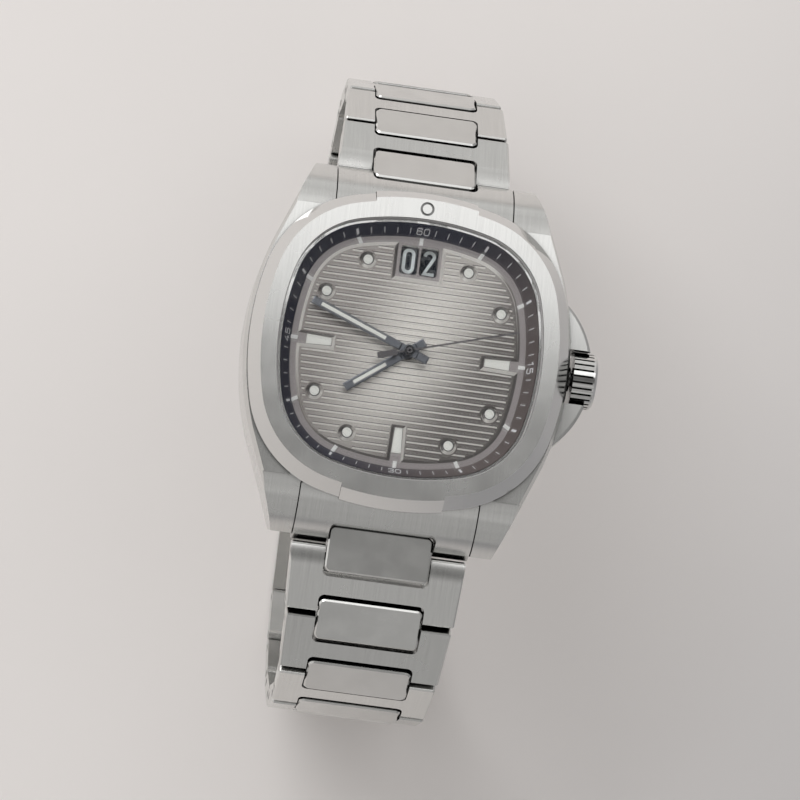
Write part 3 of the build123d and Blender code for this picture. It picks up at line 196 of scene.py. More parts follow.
class SteelSettings(bpy.types.PropertyGroup):
    """Brushed and polished steel of the case and bracelet."""

    brushed: colour("Brushed", "Colour of the brushed steel", (0.70, 0.70, 0.685))
    polished: colour("Polished", "Colour of the polished steel", (0.74, 0.74, 0.73))
    brushed_roughness: share("Brushed roughness", "Roughness of the brushed steel", 0.25)
    anisotropy: share("Anisotropy", "How much wider light spreads across the lines", 0.8)
    # Painted shade: gaps between pieces darken over these depths.
    crevice: length("Crevice", "Depth over which gaps between pieces darken", 0.0009)
    case_crevice: length("Case crevice", "Depth over which gaps at the case darken", 0.0016)
    polished_roughness: share("Polished roughness", "Roughness of the polished steel", 0.09)
    link_roughness: share("Link roughness", "Roughness of the centre links", 0.16)
    clasp_roughness: share("Clasp roughness", "Roughness of the clasp's arms and buttons", 0.14)
    screw_roughness: share("Screw roughness", "Roughness of the back's screws", 0.12)
    grain_width: length("Grain width", "Width of one brushed line", 0.00007)
    grain_length: length("Grain length", "Length of one brushed line", 0.006)
    grain_depth: length("Grain depth", "Depth of one brushed line", 0.0000015)
    flute_depth: length("Flute depth", "Depth of the crown's flutes", 0.0003)


class CrystalSettings(bpy.types.PropertyGroup):
    """The crystal, the back's window and the gaskets."""

    tint: colour("Tint", "Colour of the crystal", (0.97, 0.985, 1.0))
    gasket: colour("Gasket", "Colour of the gaskets", (0.45, 0.44, 0.44))
    index: share("Index", "Refractive index of the crystal", 1.76, 4.0)
    shine: share("Shine", "Strength of the crystal's reflections", 0.12)


class DialSettings(bpy.types.PropertyGroup):
    """Colours of the dial, its blocks and its markers."""

    # Painted highlight: the middle colour, stretched along the ray, fading to the edge colour.
    middle: colour("Middle", "Colour of the middle of the dial", (0.93, 0.90, 0.85))
    edge: colour("Edge", "Colour of the edge of the dial's field", (0.33, 0.305, 0.29))
    # Painted light and shade: flanks facing the light direction take the lit colour, flanks facing
    # away the shaded one.
    track: colour("Track", "Colour of the frosted outer track", (0.36, 0.335, 0.335))
    dark_flank: colour("Dark flank", "Colour of flanks away from the light", (0.09, 0.084, 0.082))
    bright_flank: colour("Bright flank", "Colour of flanks towards the light", (0.96, 0.94, 0.90))
    # Painted shade: the rim colour is a dark ring for the shaded slope round each round marker.
    rim: colour("Rim", "Colour of the line round a round marker", (0.05, 0.05, 0.05))
    block: colour("Block", "Colour of the hour blocks on the track", (0.82, 0.83, 0.82))
    luminous: colour("Luminous", "Colour of the luminous compound", (0.80, 0.81, 0.77))
    bright_reach: length("Bright reach", "Distance at which the dial turns grey", 0.0125)
    ray: direction("Ray", "Direction in which the bright middle stretches", (0.48, 0.88, 0.0))
    light_way: direction("Light", "Direction to which the bright flanks face", (0.5, -0.85, 0.0))
    block_width: length("Block width", "Width of an hour block", 0.00047)
    block_length: length("Block length", "Length of an hour block", 0.0009)
    noon_shift: length("Block at 12", "How much further in the block at 12 sits", 0.00017)
    block_inset: length("Block inset", "Inset of an hour block from the bezel's opening", 0.00225)
    pip_circle: length("Pip circle", "Radius of the circle of the round markers", 0.01244)
    pip_radius: length("Pip radius", "Radius of a round marker", 0.00058)
    rim_width: length("Rim width", "Width of the line round a round marker", 0.00013)
    track_height: length("Track height", "Height of the outer track", 0.00035)
    print_height: length("Print height", "How far a print stands off its surface", 0.000015)


class ScaleSettings(bpy.types.PropertyGroup):
    """The sloping ring with the minute scale."""

    # Painted reflection: the ring goes from the dark colour at the left to the lighter one at the
    # right.
    dark: colour("Dark side", "Colour of the ring at the left", (0.020, 0.022, 0.042))
    light: colour("Light side", "Colour of the ring at the right", (0.12, 0.10, 0.095))
    mark: colour("Mark", "Colour of the printed marks", (0.72, 0.73, 0.75))
    inner_inset: length("Inner inset", "Inset of the ring's lower edge", 0.0018)
    outer_inset: length("Outer inset", "Inset of the ring's upper edge", 0.00059)
    upper_height: length("Upper height", "Height of the ring's upper edge", 0.0025)
    tick_near: length("Tick near end", "Inset of the inner end of a mark", 0.00150)
    tick_far: length("Tick far end", "Inset of the outer end of a mark", 0.00097)
    tick_width: length("Mark width", "Width of a minute mark", 0.00009)
    bold_width: length("Bold mark width", "Width of a five minute mark", 0.00029)
    figure_width: length("Figure width", "Width of one figure", 0.00072)
    figure_height: length("Figure height", "Height of one figure", 0.00066)
    figure_stroke: length("Figure stroke", "Width of a figure's stroke", 0.0001)
    figure_gap: length("Figure gap", "Gap between two figures", 0.00016)


class DateSettings(bpy.types.PropertyGroup):
    """The two date discs."""

    disc: colour("Disc", "Colour of the date discs", (0.010, 0.013, 0.022))
    figure: colour("Figure", "Colour of the date figures", (0.90, 0.97, 1.0))
    tens_x: length("Tens across", "Place of the tens figure beside the 12 o'clock line", -0.00120)
    units_x: length("Units across", "Place of the units figure beside the 12 o'clock line", 0.00137)
    place_y: length("Place up", "Height of the figures above the dial's centre", 0.01145)
    units_lift: length("Units lift", "How much higher the units figure stands", 0.00009)
    tens_height: length("Tens height", "Height of the tens disc's face", -0.00072)
    units_height: length("Units height", "Height of the units disc's face", -0.00106)
    width: length("Figure width", "Width of a date figure", 0.00156)
    height: length("Figure height", "Height of a date figure", 0.00312)
    stroke: length("Figure stroke", "Width of a date figure's stroke", 0.00042)


class HandSettings(bpy.types.PropertyGroup):
    """The three hands."""

    metal: colour("Metal", "Colour of the hands", (0.17, 0.18, 0.20))
    seconds: colour("Seconds", "Colour of the seconds hand", (0.13, 0.125, 0.13))
    cap: colour("Cap", "Colour of the ring on the cap over the hands", (0.33, 0.35, 0.38))
    cap_height: length("Cap height", "Height of the cap over the hands", 0.00208)
    cap_radius: length("Cap radius", "Radius of the ring on the cap", 0.0006)
    slot_half: length("Slot half width", "Half width of the luminous strips", 0.00022)
    edge: length("Edge", "Width of the sloped edge of a hand", 0.00013)
    crest: length("Crest", "Height of a hand's faceted top", 0.00008)
    near: length("Strip near end", "Distance of a strip's near end from the centre", 0.0032)
    tip: length("Strip tip", "Distance of a strip's far end from the hand's tip", 0.0012)
    strip_bevel: length("Strip bevel", "Width of a strip's sloped edge", 0.00004)
    hub: length("Hub", "Distance of a hand's facets from the centre", 0.0011)
    cap_roughness: share("Cap roughness", "Roughness of the ring on the cap", 0.22)
    hour_turn: number("Hour turn", "Clockwise angle of the hour hand, in degrees", 233.0)
    hour_level: length("Hour level", "Height of the hour hand's top", 0.0010)
    hour_reach: length("Hour reach", "Length of the hour hand from the centre", 0.0090)
    hour_tail: length("Hour tail", "Length of the hour hand's tail", 0.00235)
    hour_width: length("Hour width", "Width of the hour hand", 0.00105)
    minute_turn: number("Minute turn", "Clockwise angle of the minute hand, in degrees", 291.0)
    minute_level: length("Minute level", "Height of the minute hand's top", 0.0015)
    minute_reach: length("Minute reach", "Length of the minute hand from the centre", 0.01325)
    minute_tail: length("Minute tail", "Length of the minute hand's tail", 0.0026)
    minute_width: length("Minute width", "Width of the minute hand", 0.0010)


class MovementSettings(bpy.types.PropertyGroup):
    """The movement, seen through the back."""

    plate: colour("Plate", "Colour of the plated bridges", (0.62, 0.59, 0.53))
    gilt: colour("Gilt", "Colour of the gilt wheels", (0.70, 0.52, 0.25))
    jewel: colour("Jewel", "Colour of the jewels", (0.42, 0.02, 0.05))
    plastic: colour("Plastic", "Colour of the ring round the movement", (0.06, 0.06, 0.065))
    screw: colour("Screw", "Colour of the blued screws", (0.20, 0.24, 0.42))
    stripe_pitch: length("Stripe pitch", "Pitch of the decorative stripes", 0.0016)
    bridge_floor: length("Bridge floor", "Height of the outer face of the bridges", -0.00485)
    jewel_radius: length("Jewel radius", "Radius of a jewel", 0.00055)
    screw_radius: length("Screw radius", "Radius of a movement screw's head", 0.0008)


class StageSettings(bpy.types.PropertyGroup):
    """Floor, sky, lamps and camera."""

    floor: colour("Floor", "Colour of the floor", (0.90, 0.86, 0.84))
    # Painted shadow: the floor darkens to this colour far to the right.
    far_floor: colour("Far floor", "Colour of the floor far to the right", (0.50, 0.495, 0.51))
    fall_way: direction("Fall", "Direction in which the floor darkens", (0.95, -0.3, 0.0))
    sky: colour("Sky", "Colour of the sky", (1.0, 0.99, 0.975))
    overhead: share("Overhead", "Brightness of the sky straight above", 0.12, 4.0)
    horizon: share("Horizon", "Brightness of the sky outside the patch straight above", 0.58, 4.0)
    patch: share("Patch", "Cosine of the angle over which the sky darkens straight above", 0.9)
    lean_x: number("Lean X", "How much brighter the sky is at the right", -0.5)
    lean_y: number("Lean Y", "How much brighter the sky is at the top", 0.2)
    window_count: share("Window count", "How fine the sky's patches are", 9.0, 50.0)
    window_dark: share("Window dark", "Brightness of the sky's dark patches", 0.72)
    key_place: position("Key place", "Place of the key lamp", (-0.36, 0.38, 0.48))
    key_length: length("Key length", "Length of the key lamp", 0.50)
    key_width: length("Key width", "Width of the key lamp", 0.42)
    key_power: number("Key power", "Power of the key lamp", 1.5, "POWER")
    panel_place: position("Panel place", "Place of the panel over the watch", (-0.02, 0.080, 0.25))
    panel_length: length("Panel length", "Length of the panel over the watch", 0.30)
    panel_width: length("Panel width", "Width of the panel over the watch", 0.076)
    panel_power: number("Panel power", "Power of the panel over the watch", 0.066, "POWER")
    camera_place: position("Camera place", "Place of the camera", (-0.049603, -0.105855, 0.618351))
    camera_pitch: number("Camera pitch", "Turn about X", 0.17422927, "ROTATION")
    camera_yaw: number("Camera yaw", "Turn about Y", -0.08540527, "ROTATION")
    camera_roll: number("Camera roll", "Turn about Z", 0.13583410, "ROTATION")
    lens: share("Lens", "Focal length in millimetres on a 36 mm sensor", 214.2, 1000.0)


SETTINGS = {
    "head": HeadSettings,
    "steel": SteelSettings,
    "crystal": CrystalSettings,
    "dial": DialSettings,
    "scale": ScaleSettings,
    "date": DateSettings,
    "hands": HandSettings,
    "movement": MovementSettings,
    "stage": StageSettings,
}


def settings(group):
    """One group of the scene's watch settings."""
    return getattr(bpy.context.scene, "watch_" + group)


# Node materials

class Nodes:
    """A node tree in the making."""

    def __init__(self, tree):
        self.tree = tree

    def add(self, kind, inputs, **options):
        """Add a node and feed its inputs with sockets or plain values."""
        node = self.tree.nodes.new(kind)
        for name, value in options.items():
            setattr(node, name, value)
        for slot, value in inputs.items():
            self.feed(node.inputs[slot], value)
        return node

    def feed(self, slot, value):
        """Link a socket or set a plain value."""
        if isinstance(value, bpy.types.NodeSocket):
            self.tree.links.new(value, slot)
        elif hasattr(value, "__len__") and len(value) == 3 and slot.type == "RGBA":
            slot.default_value = (*value, 1.0)
        else:
            slot.default_value = value

    def split(self, vector):
        """The three parts of a vector."""
        return self.add("ShaderNodeSeparateXYZ", {0: vector}).outputs

    def math(self, operation, first, second=0.0):
        """One step of arithmetic."""
        return self.add("ShaderNodeMath", {0: first, 1: second}, operation=operation).outputs[0]

    def radius(self, first, second):
        """The length of a line whose two parts are at right angles."""
        squares = [self.math("POWER", part, 2.0) for part in (first, second)]
        return self.math("SQRT", self.math("ADD", *squares))

    def dot(self, vector, way):
        """How far a vector reaches along a direction."""
        node = self.add("ShaderNodeVectorMath", {0: vector, 1: way}, operation="DOT_PRODUCT")
        return node.outputs["Value"]

    def ramp(self, value, low, high, start=0.0, end=1.0, kind="SMOOTHSTEP"):
        """Map a value from one range to another, smoothly unless the kind says otherwise."""
        inputs = {"Value": value, "From Min": low, "From Max": high, "To Min": start, "To Max": end}
        return self.add("ShaderNodeMapRange", inputs, interpolation_type=kind).outputs["Result"]

    def mix(self, factor, first, second):
        """Mix two colours."""
        node = self.add("ShaderNodeMix", {}, data_type="RGBA")
        self.feed(node.inputs["Factor"], factor)
        for slot, value in zip([s for s in node.inputs if s.type == "RGBA"], (first, second)):
            self.feed(slot, value)
        return [s for s in node.outputs if s.type == "RGBA"][0]


class Finish(Nodes):
    """A node material in the making, on a base of one shader."""

    def __init__(self, name, metallic=0.0):
        self.material = bpy.data.materials.new(name)
        self.material.use_nodes = True
        super().__init__(self.material.node_tree)
        self.shader = self.tree.nodes["Principled BSDF"]
        self.shader.inputs["Metallic"].default_value = metallic
        coordinates = self.tree.nodes.new("ShaderNodeTexCoord")
        self.place = coordinates.outputs["Object"]
        self.normal = coordinates.outputs["Normal"]
        self.x, self.y, self.z = self.split(self.place)

    def noise(self, size, detail=3.0, stretch=(1.0, 1.0, 1.0)):
        """Noise with features of a size in metres, stretched along the axes."""
        inputs = {0: self.place, 1: [1.0 / (size * part) for part in stretch]}
        place = self.add("ShaderNodeVectorMath", inputs, operation="MULTIPLY").outputs[0]
        inputs = {"Vector": place, "Scale": 1.0, "Detail": detail}
        return self.add("ShaderNodeTexNoise", inputs).outputs[0]

    def mottled(self, pattern, tone, darker, lighter):
        """A tone that a pattern makes darker and lighter by shares of it."""
        tones = scaled(tone, darker), scaled(tone, lighter)
        return self.mix(self.ramp(pattern, *NOISE_BAND), *tones)

    def worn(self, pattern, roughness, wear):
        """A roughness that a pattern lowers and raises."""
        low, high, least, most = wear
        return self.ramp(pattern, low, high, roughness * least, min(roughness * most, 1.0))

    def shut(self, shade, tone, distance):
        """A colour with painted shade, dark in crevices that are narrower than a distance."""
        node = self.add("ShaderNodeAmbientOcclusion", {"Distance": distance}, samples=6)
        clear = self.ramp(node.outputs["AO"], *CREVICE_SHADE_BAND)
        return self.mix(clear, scaled(tone, CREVICE_SHADE_TONE), shade)

    def bump(self, height, depth, strength=1.0, before=None):
        """A bump of a depth in metres, after an earlier bump if there is one."""
        inputs = {"Height": height, "Distance": depth, "Strength": strength}
        if before is not None:
            inputs["Normal"] = before
        return self.add("ShaderNodeBump", inputs).outputs[0]

    def hinge_line(self):
        """The direction across the brushed lines, which is that of the hinges."""
        options = {"vector_type": "VECTOR", "convert_from": "OBJECT", "convert_to": "WORLD"}
        return self.add("ShaderNodeVectorTransform", {0: (1.0, 0.0, 0.0)}, **options).outputs[0]

    def finish(self, **inputs):
        """Feed the shader's inputs and give the material."""
        for name, value in inputs.items():
            self.feed(self.shader.inputs[name.replace("_", " ")], value)
        return self.material


def scaled(tone, factor):
    """A colour made lighter or darker."""
    return tuple(min(part * factor, 1.0) for part in tone)


def bezel_groove_shade(look, upper):
    """How much a point lies in the groove round the bezel's mark, below its brushed top, where
    painted shade darkens it.
    """
    head = settings("head")
    radius = look.radius(look.math("SUBTRACT", look.y, head.mark_place), look.x)
    inside = look.ramp(radius, head.mark_radius, head.mark_radius + SOFT_EDGE, 1.0, 0.0)
    outside = look.ramp(radius, head.mark_disc - SOFT_EDGE, head.mark_disc)
    groove = look.math("MULTIPLY", outside, inside)
    return look.math("MULTIPLY", groove, look.math("SUBTRACT", 1.0, upper))


def brushed_steel(name, grain_axis, polished_below=None, crevice=None):
    """Satin steel with fine lines along an axis, polished below a height where one is given."""
    steel = settings("steel")
    look = Finish(name, metallic=1.0)
    length_share = steel.grain_length / steel.grain_width
    stretch = [length_share if axis in grain_axis else 1.0 for axis in "xyz"]
    fine = look.noise(steel.grain_width, 2.0, stretch)
    coarse = look.noise(4 * steel.grain_width, 2.0, stretch)
    lines = look.math("ADD", look.math("MULTIPLY", fine, FINE_SHARE),
                      look.math("MULTIPLY", coarse, 1.0 - FINE_SHARE))
    shade = look.mottled(lines, steel.brushed, 0.95, 1.04)
    rough = look.worn(look.noise(SMUDGE, 4.0), steel.brushed_roughness, BRUSHED_WEAR)
    relief = lines
    if polished_below is None:
        # Painted shade in the crevices.
        shade = look.shut(shade, steel.brushed, crevice or steel.crevice)
    else:
        upper = look.ramp(look.z, polished_below - SOFT_EDGE, polished_below)
        shade = look.mix(upper, steel.polished, shade)
        satin = look.math("MULTIPLY", upper, look.math("SUBTRACT", rough, steel.polished_roughness))
        rough = look.math("ADD", satin, steel.polished_roughness)
        relief = look.math("MULTIPLY", upper, lines)
        # Painted shade in the groove round the bezel's mark.
        shade = look.mix(bezel_groove_shade(look, upper), shade, scaled(steel.brushed, GROOVE_SHADE_TONE))
    return look.finish(Base_Color=shade, Roughness=rough, Anisotropic=steel.anisotropy,
                       Normal=look.bump(relief, steel.grain_depth), Tangent=look.hinge_line())


def fluted_steel(name, node):
    """Polished steel of the crown, with painted shade at the foot of its flutes."""
    steel = settings("steel")
    look = Finish(name, metallic=1.0)
    low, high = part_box(node)
    radius = (high[2] - low[2]) / 2
    up = look.math("SUBTRACT", look.z, (low[2] + high[2]) / 2)
    across = look.math("SUBTRACT", look.y, (low[1] + high[1]) / 2)
    crest = look.ramp(look.radius(up, across), radius - steel.flute_depth,
                      radius - FLUTE_SHADE_TOP * steel.flute_depth)
    face = look.ramp(look.math("ABSOLUTE", look.split(look.normal)[0]), *FACE_BAND)
    haze = look.noise(FLUTE_HAZE, 4.0)
    shade = look.mottled(haze, steel.polished, 0.92, 1.04)
    # Painted shade at the foot of each flute; the end face stays clear.
    shade = look.mix(look.math("MAXIMUM", crest, face), scaled(steel.polished, FLUTE_SHADE_TONE), shade)
    # Painted shade in the crevices.
    shade = look.shut(shade, steel.polished, steel.crevice)
    rough = look.worn(haze, steel.polished_roughness, FLUTED_WEAR)
    return look.finish(Base_Color=shade, Roughness=rough,
                       Normal=look.bump(haze, 2 * HAIR_DEPTH, 0.5))


def polished_steel(name, tone=None, roughness=None):
    """Mirror-polished steel with faint wiping marks and painted shade in its crevices."""
    steel = settings("steel")
    tone = tone or steel.polished
    look = Finish(name, metallic=1.0)
    haze = look.noise(HAZE, 4.0)
    hairs = look.noise(HAIR_WIDTH, 1.0, stretch=(60.0, 1.0, 20.0))
    # Painted shade in the crevices.
    shade = look.shut(look.mottled(haze, tone, 0.95, 1.03), tone, steel.crevice)
    rough = look.worn(haze, roughness or steel.polished_roughness, POLISHED_WEAR)
    return look.finish(Base_Color=shade, Roughness=rough, Normal=look.bump(hairs, HAIR_DEPTH, 0.5))


def turned_metal(name, tone, roughness, pitch, depth):
    """Metal with fine rings about the head's axis, as a lathe leaves."""
    look = Finish(name, metallic=1.0)
    turns = look.math("MULTIPLY", look.radius(look.x, look.y), 2 * math.pi / pitch)
    haze = look.noise(TURNED_HAZE)
    return look.finish(Base_Color=look.mottled(haze, tone, 0.9, 1.06),
                       Roughness=look.worn(haze, roughness, TURNED_WEAR),
                       Normal=look.bump(look.math("SINE", turns), depth))


def striped_metal(name, tone, pitch):
    """Plated metal with the broad stripes of a decorated bridge."""
    look = Finish(name, metallic=1.0)
    saw = look.math("FRACT", look.math("DIVIDE", look.x, pitch))
    arch = look.math("SINE", look.math("MULTIPLY", saw, math.pi))
    strokes = look.noise(STROKE_WIDTH, 2.0, stretch=(1.0, 30.0, 1.0))
    shade = look.mix(look.ramp(saw, 0.0, 1.0), scaled(tone, 0.82), scaled(tone, 1.1))
    rough = look.ramp(strokes, *NOISE_BAND, *STRIPE_ROUGHNESS)
    normal = look.bump(strokes, STROKE_DEPTH, 1.0, look.bump(arch, STRIPE_DEPTH, 0.6))
    return look.finish(Base_Color=shade, Roughness=rough, Normal=normal)


def grained(name, tone, roughness=0.5, size=0.00005, depth=0.000001, metallic=0.0, spread=0.08,
            shine=0.5):
    """A matt or satin surface with a fine even grain."""
    look = Finish(name, metallic=metallic)
    grain = look.noise(size, 4.0)
    return look.finish(Base_Color=look.mottled(grain, tone, 1.0 - spread, 1.0 + spread),
                       Roughness=look.worn(grain, roughness, GRAINED_WEAR),
                       Normal=look.bump(grain, depth), Specular_IOR_Level=shine)


def clear_crystal(name):
    """Clear crystal that lets the dial's light through and keeps a faint sheen."""
    crystal = settings("crystal")
    look = Finish(name)
    haze = look.noise(CRYSTAL_HAZE, 4.0)
    rough = look.ramp(haze, *CRYSTAL_BAND, *CRYSTAL_ROUGHNESS)
    veil = look.ramp(haze, *CRYSTAL_BAND, *CRYSTAL_VEIL)
    return look.finish(Base_Color=crystal.tint, Alpha=veil, Roughness=rough, IOR=crystal.index,
                       Transmission_Weight=1.0, Specular_IOR_Level=crystal.shine)


def dial_finish():
    """Metal dial: a painted highlight in the middle, a grey edge with painted shade on one side,
    painted light and shade on its flanks and a frosted track.
    """
    dial = settings("dial")
    look = Finish("dial_metal")
    height = look.math("SUBTRACT", look.z, settings("head").dial_height)
    ray_x, ray_y, _ = dial.ray
    band = look.dot(look.place, (ray_x, ray_y, 0.0))
    beside = look.dot(look.place, (ray_y, -ray_x, 0.0))
    spread = look.radius(look.math("MULTIPLY", beside, HIGHLIGHT_FALL),
                         look.math("MULTIPLY", band, HIGHLIGHT_STRETCH))
    brush = look.noise(BRUSH_WIDTH, 2.0, stretch=(1.0, 80.0, 1.0))
    frost = look.noise(FROST_SIZE)
    # Painted shade: the edge darkens on one side of the ray.
    rim = look.mix(look.ramp(beside, *SHADE_REACH), dial.edge, scaled(dial.edge, SHADE_TONE))
    # Painted highlight: the bright middle along the ray.
    field = look.mix(look.ramp(spread, HIGHLIGHT_HALF, dial.bright_reach), dial.middle, rim)
    field = look.mix(look.ramp(brush, *BRUSH_BAND, 0.0, BRUSH_SHARE), field, rim)
    track = look.mottled(frost, dial.track, 0.8, 1.15)
    upper = look.ramp(height, dial.track_height - 5 * TONE_STEP, dial.track_height - 2 * TONE_STEP)
    shade = look.mix(upper, field, track)
    # Painted light and shade on the flanks, painted highlight on the rib crests; where lit, the dial
    # is less metallic.
    turned = look.dot(look.normal, dial.light_way)
    over_foot = look.ramp(height, RIB_HEIGHT - 2 * TONE_STEP, RIB_HEIGHT)
    under_top = look.ramp(height, RIB_HEIGHT + 2 * TONE_STEP, RIB_HEIGHT + 4 * TONE_STEP, 1.0, 0.0)
    painted_rib_highlight = look.math("MULTIPLY", look.math("MULTIPLY", over_foot, under_top), RIB_HIGHLIGHT)
    lit = look.math("MAXIMUM", look.ramp(turned, *FLANK_BAND), painted_rib_highlight)
    shade = look.mix(lit, shade, dial.bright_flank)
    away = look.ramp(turned, -FLANK_BAND[1], -FLANK_BAND[0], 1.0, 0.0)
    shade = look.mix(away, shade, dial.dark_flank)
    metallic = look.ramp(lit, *PAINTED_LIGHT_METAL, DIAL_METAL, 0.0)
    rough = look.ramp(upper, 0.0, 1.0, *DIAL_ROUGHNESS)
    lines = look.math("MULTIPLY", brush, BRUSH_RELIEF)
    relief = look.bump(look.math("ADD", look.math("MULTIPLY", frost, upper), lines), FROST_DEPTH)
    return look.finish(Base_Color=shade, Metallic=metallic, Roughness=rough, Normal=relief)


def ring_finish():
    """Dark satin ring with a painted reflection, navy on one side and brown grey on the other."""
    scale = settings("scale")
    look = Finish("ring_satin")
    lean = look.math("SUBTRACT", look.x, look.math("MULTIPLY", look.y, RING_REFLECTION_SLANT))
    grain = look.noise(RING_GRAIN)
    # Painted reflection, lighter towards the right.
    shade = look.mix(look.ramp(lean, *RING_REFLECTION_REACH), scale.dark, scale.light)
    shade = look.mix(look.math("MULTIPLY", grain, 0.25), shade, scaled(scale.dark, 0.6))
    rough = look.ramp(grain, *NOISE_BAND, *RING_ROUGHNESS)
    return look.finish(Base_Color=shade, Roughness=rough, Normal=look.bump(grain, RING_DEPTH),
                       Specular_IOR_Level=RING_SHINE)


# Meshes

def piece(name, points, faces, material, body, slot):
    """A new piece from points and faces, riding on a body."""
    mesh = bpy.data.meshes.new(name)
    mesh.from_pydata(points, [], faces)
    mesh.update()
    mesh.materials.append(material)
    made = bpy.data.objects.new(name, mesh)
    bpy.context.scene.collection.objects.link(made)
    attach(made, body)
    return made


def skin(loops, cap=True):
    """Faces that join closed loops of equal count, with a cap on the last one."""
    count = len(loops[0])
    points = [point for loop in loops for point in loop]
    faces = []
    for low in range(0, len(points) - count, count):
        for place in range(count):
            after = (place + 1) % count
            faces.append((low + place, low + after, low + count + after, low + count + place))
    if cap:
        faces.append(tuple(range(len(points) - count, len(points))))
    return points, faces


def gather(parts):
    """Several point and face lists as one."""
    points, faces = [], []
    for more_points, more_faces in parts:
        start = len(points)
        points += more_points
        faces += [tuple(start + index for index in face) for face in more_faces]
    return points, faces


def at_turn(turn, along, across):
    """A point at a clockwise angle from 12, so far out and so far to the right of that line."""
    angle = math.radians(turn)
    return (along * math.sin(angle) + across * math.cos(angle),
            along * math.cos(angle) - across * math.sin(angle))


def level(height):
    """Row height of a height in the head."""
    return settings("head").dial_height + height


def disc_loop(x, y, radius, z, count=40):
    """A circle as a loop of points."""
    turns = [2 * math.pi * spot / count for spot in range(count)]
    return [(x + radius * math.cos(turn), y + radius * math.sin(turn), z) for turn in turns]


def lathed(x, y, sections, count=40, cap=True):
    """A form turned about an upright axis, from (radius, height) sections."""
    return skin([disc_loop(x, y, radius, z, count) for radius, z in sections], cap)


def bar(turn, sections, cap=True):
    """A bar at an angle from 12 o'clock, from (near, far, half width, height) sections."""
    loops = []
    for near, far, half, z in sections:
        corners = ((near, half), (far, half), (far, -half), (near, -half))
        loops.append([(*at_turn(turn, along, across), z) for along, across in corners])
    return skin(loops, cap)


# Cushion outline

class Cushion:
    """The outline of the bezel's opening and how far a point lies inside it."""

    def __init__(self):
        head = settings("head")
        self.side, self.corner = head.side_radius, head.corner_radius
        self.side_x = head.opening_half_width - self.side
        self.end_y = head.opening_half_height - self.side
        slope = self.side_x / self.end_y
        shift = (self.end_y ** 2 - self.side_x ** 2) / (2 * self.end_y)
        half = (slope * shift - self.side_x) / (1 + slope ** 2)
        rest = (self.side_x ** 2 + shift ** 2 - (self.side - self.corner) ** 2) / (1 + slope ** 2)
        self.corner_x = -half + math.sqrt(half ** 2 - rest)
        self.corner_y = slope * self.corner_x + shift

    def inset(self, x, y):
        """How far a point lies inside the opening."""
        x, y = abs(x), abs(y)
        if y * (self.corner_x - self.side_x) <= self.corner_y * (x - self.side_x):
            return self.side - math.hypot(x - self.side_x, y)
        if x * (self.corner_y - self.end_y) <= self.corner_x * (y - self.end_y):
            return self.side - math.hypot(x, y - self.end_y)
        return self.corner - math.hypot(x - self.corner_x, y - self.corner_y)

    def reach(self, turn, inset):
        """Distance from the centre to the outline at an inset, at a clockwise angle from 12."""
        low, high = 0.0, 2 * self.side
        for _ in range(40):
            middle = (low + high) / 2
            if self.inset(*at_turn(turn, middle, 0.0)) > inset:
                low = middle
            else:
                high = middle
        return low

    def on_ring(self, x, y):
        """A point of the sloping ring, a print's thickness above it."""
        scale, dial = settings("scale"), settings("dial")
        climb = (scale.inner_inset - self.inset(x, y)) / (scale.inner_inset - scale.outer_inset)
        rise = climb * (scale.upper_height - dial.track_height)
        return (x, y, level(dial.track_height + rise + 2 * dial.print_height))


# Figures drawn as strokes

def bend(x, y, radius, start, end):
    """Points of an arc, with its angles in degrees."""
    steps = 8
    turns = [math.radians(start + (end - start) * step / steps) for step in range(steps + 1)]
    return [(x + radius * math.cos(turn), y + radius * math.sin(turn)) for turn in turns]


def loop_box(low, high, wide, round_off):
    """A closed stroke: a box with round corners."""
    return (bend(wide - round_off, high - round_off, round_off, 90, 0)
            + bend(wide - round_off, low + round_off, round_off, 0, -90)
            + bend(round_off, low + round_off, round_off, -90, -180)
            + bend(round_off, high - round_off, round_off, 180, 90))


def bowl(high, wide, round_off):
    """An open stroke round the right side of a lower bowl."""
    return (bend(wide - round_off, high - round_off, round_off, 90, 0)
            + bend(wide - round_off, round_off, round_off, 0, -90)
            + bend(round_off, round_off, round_off, -90, -170))


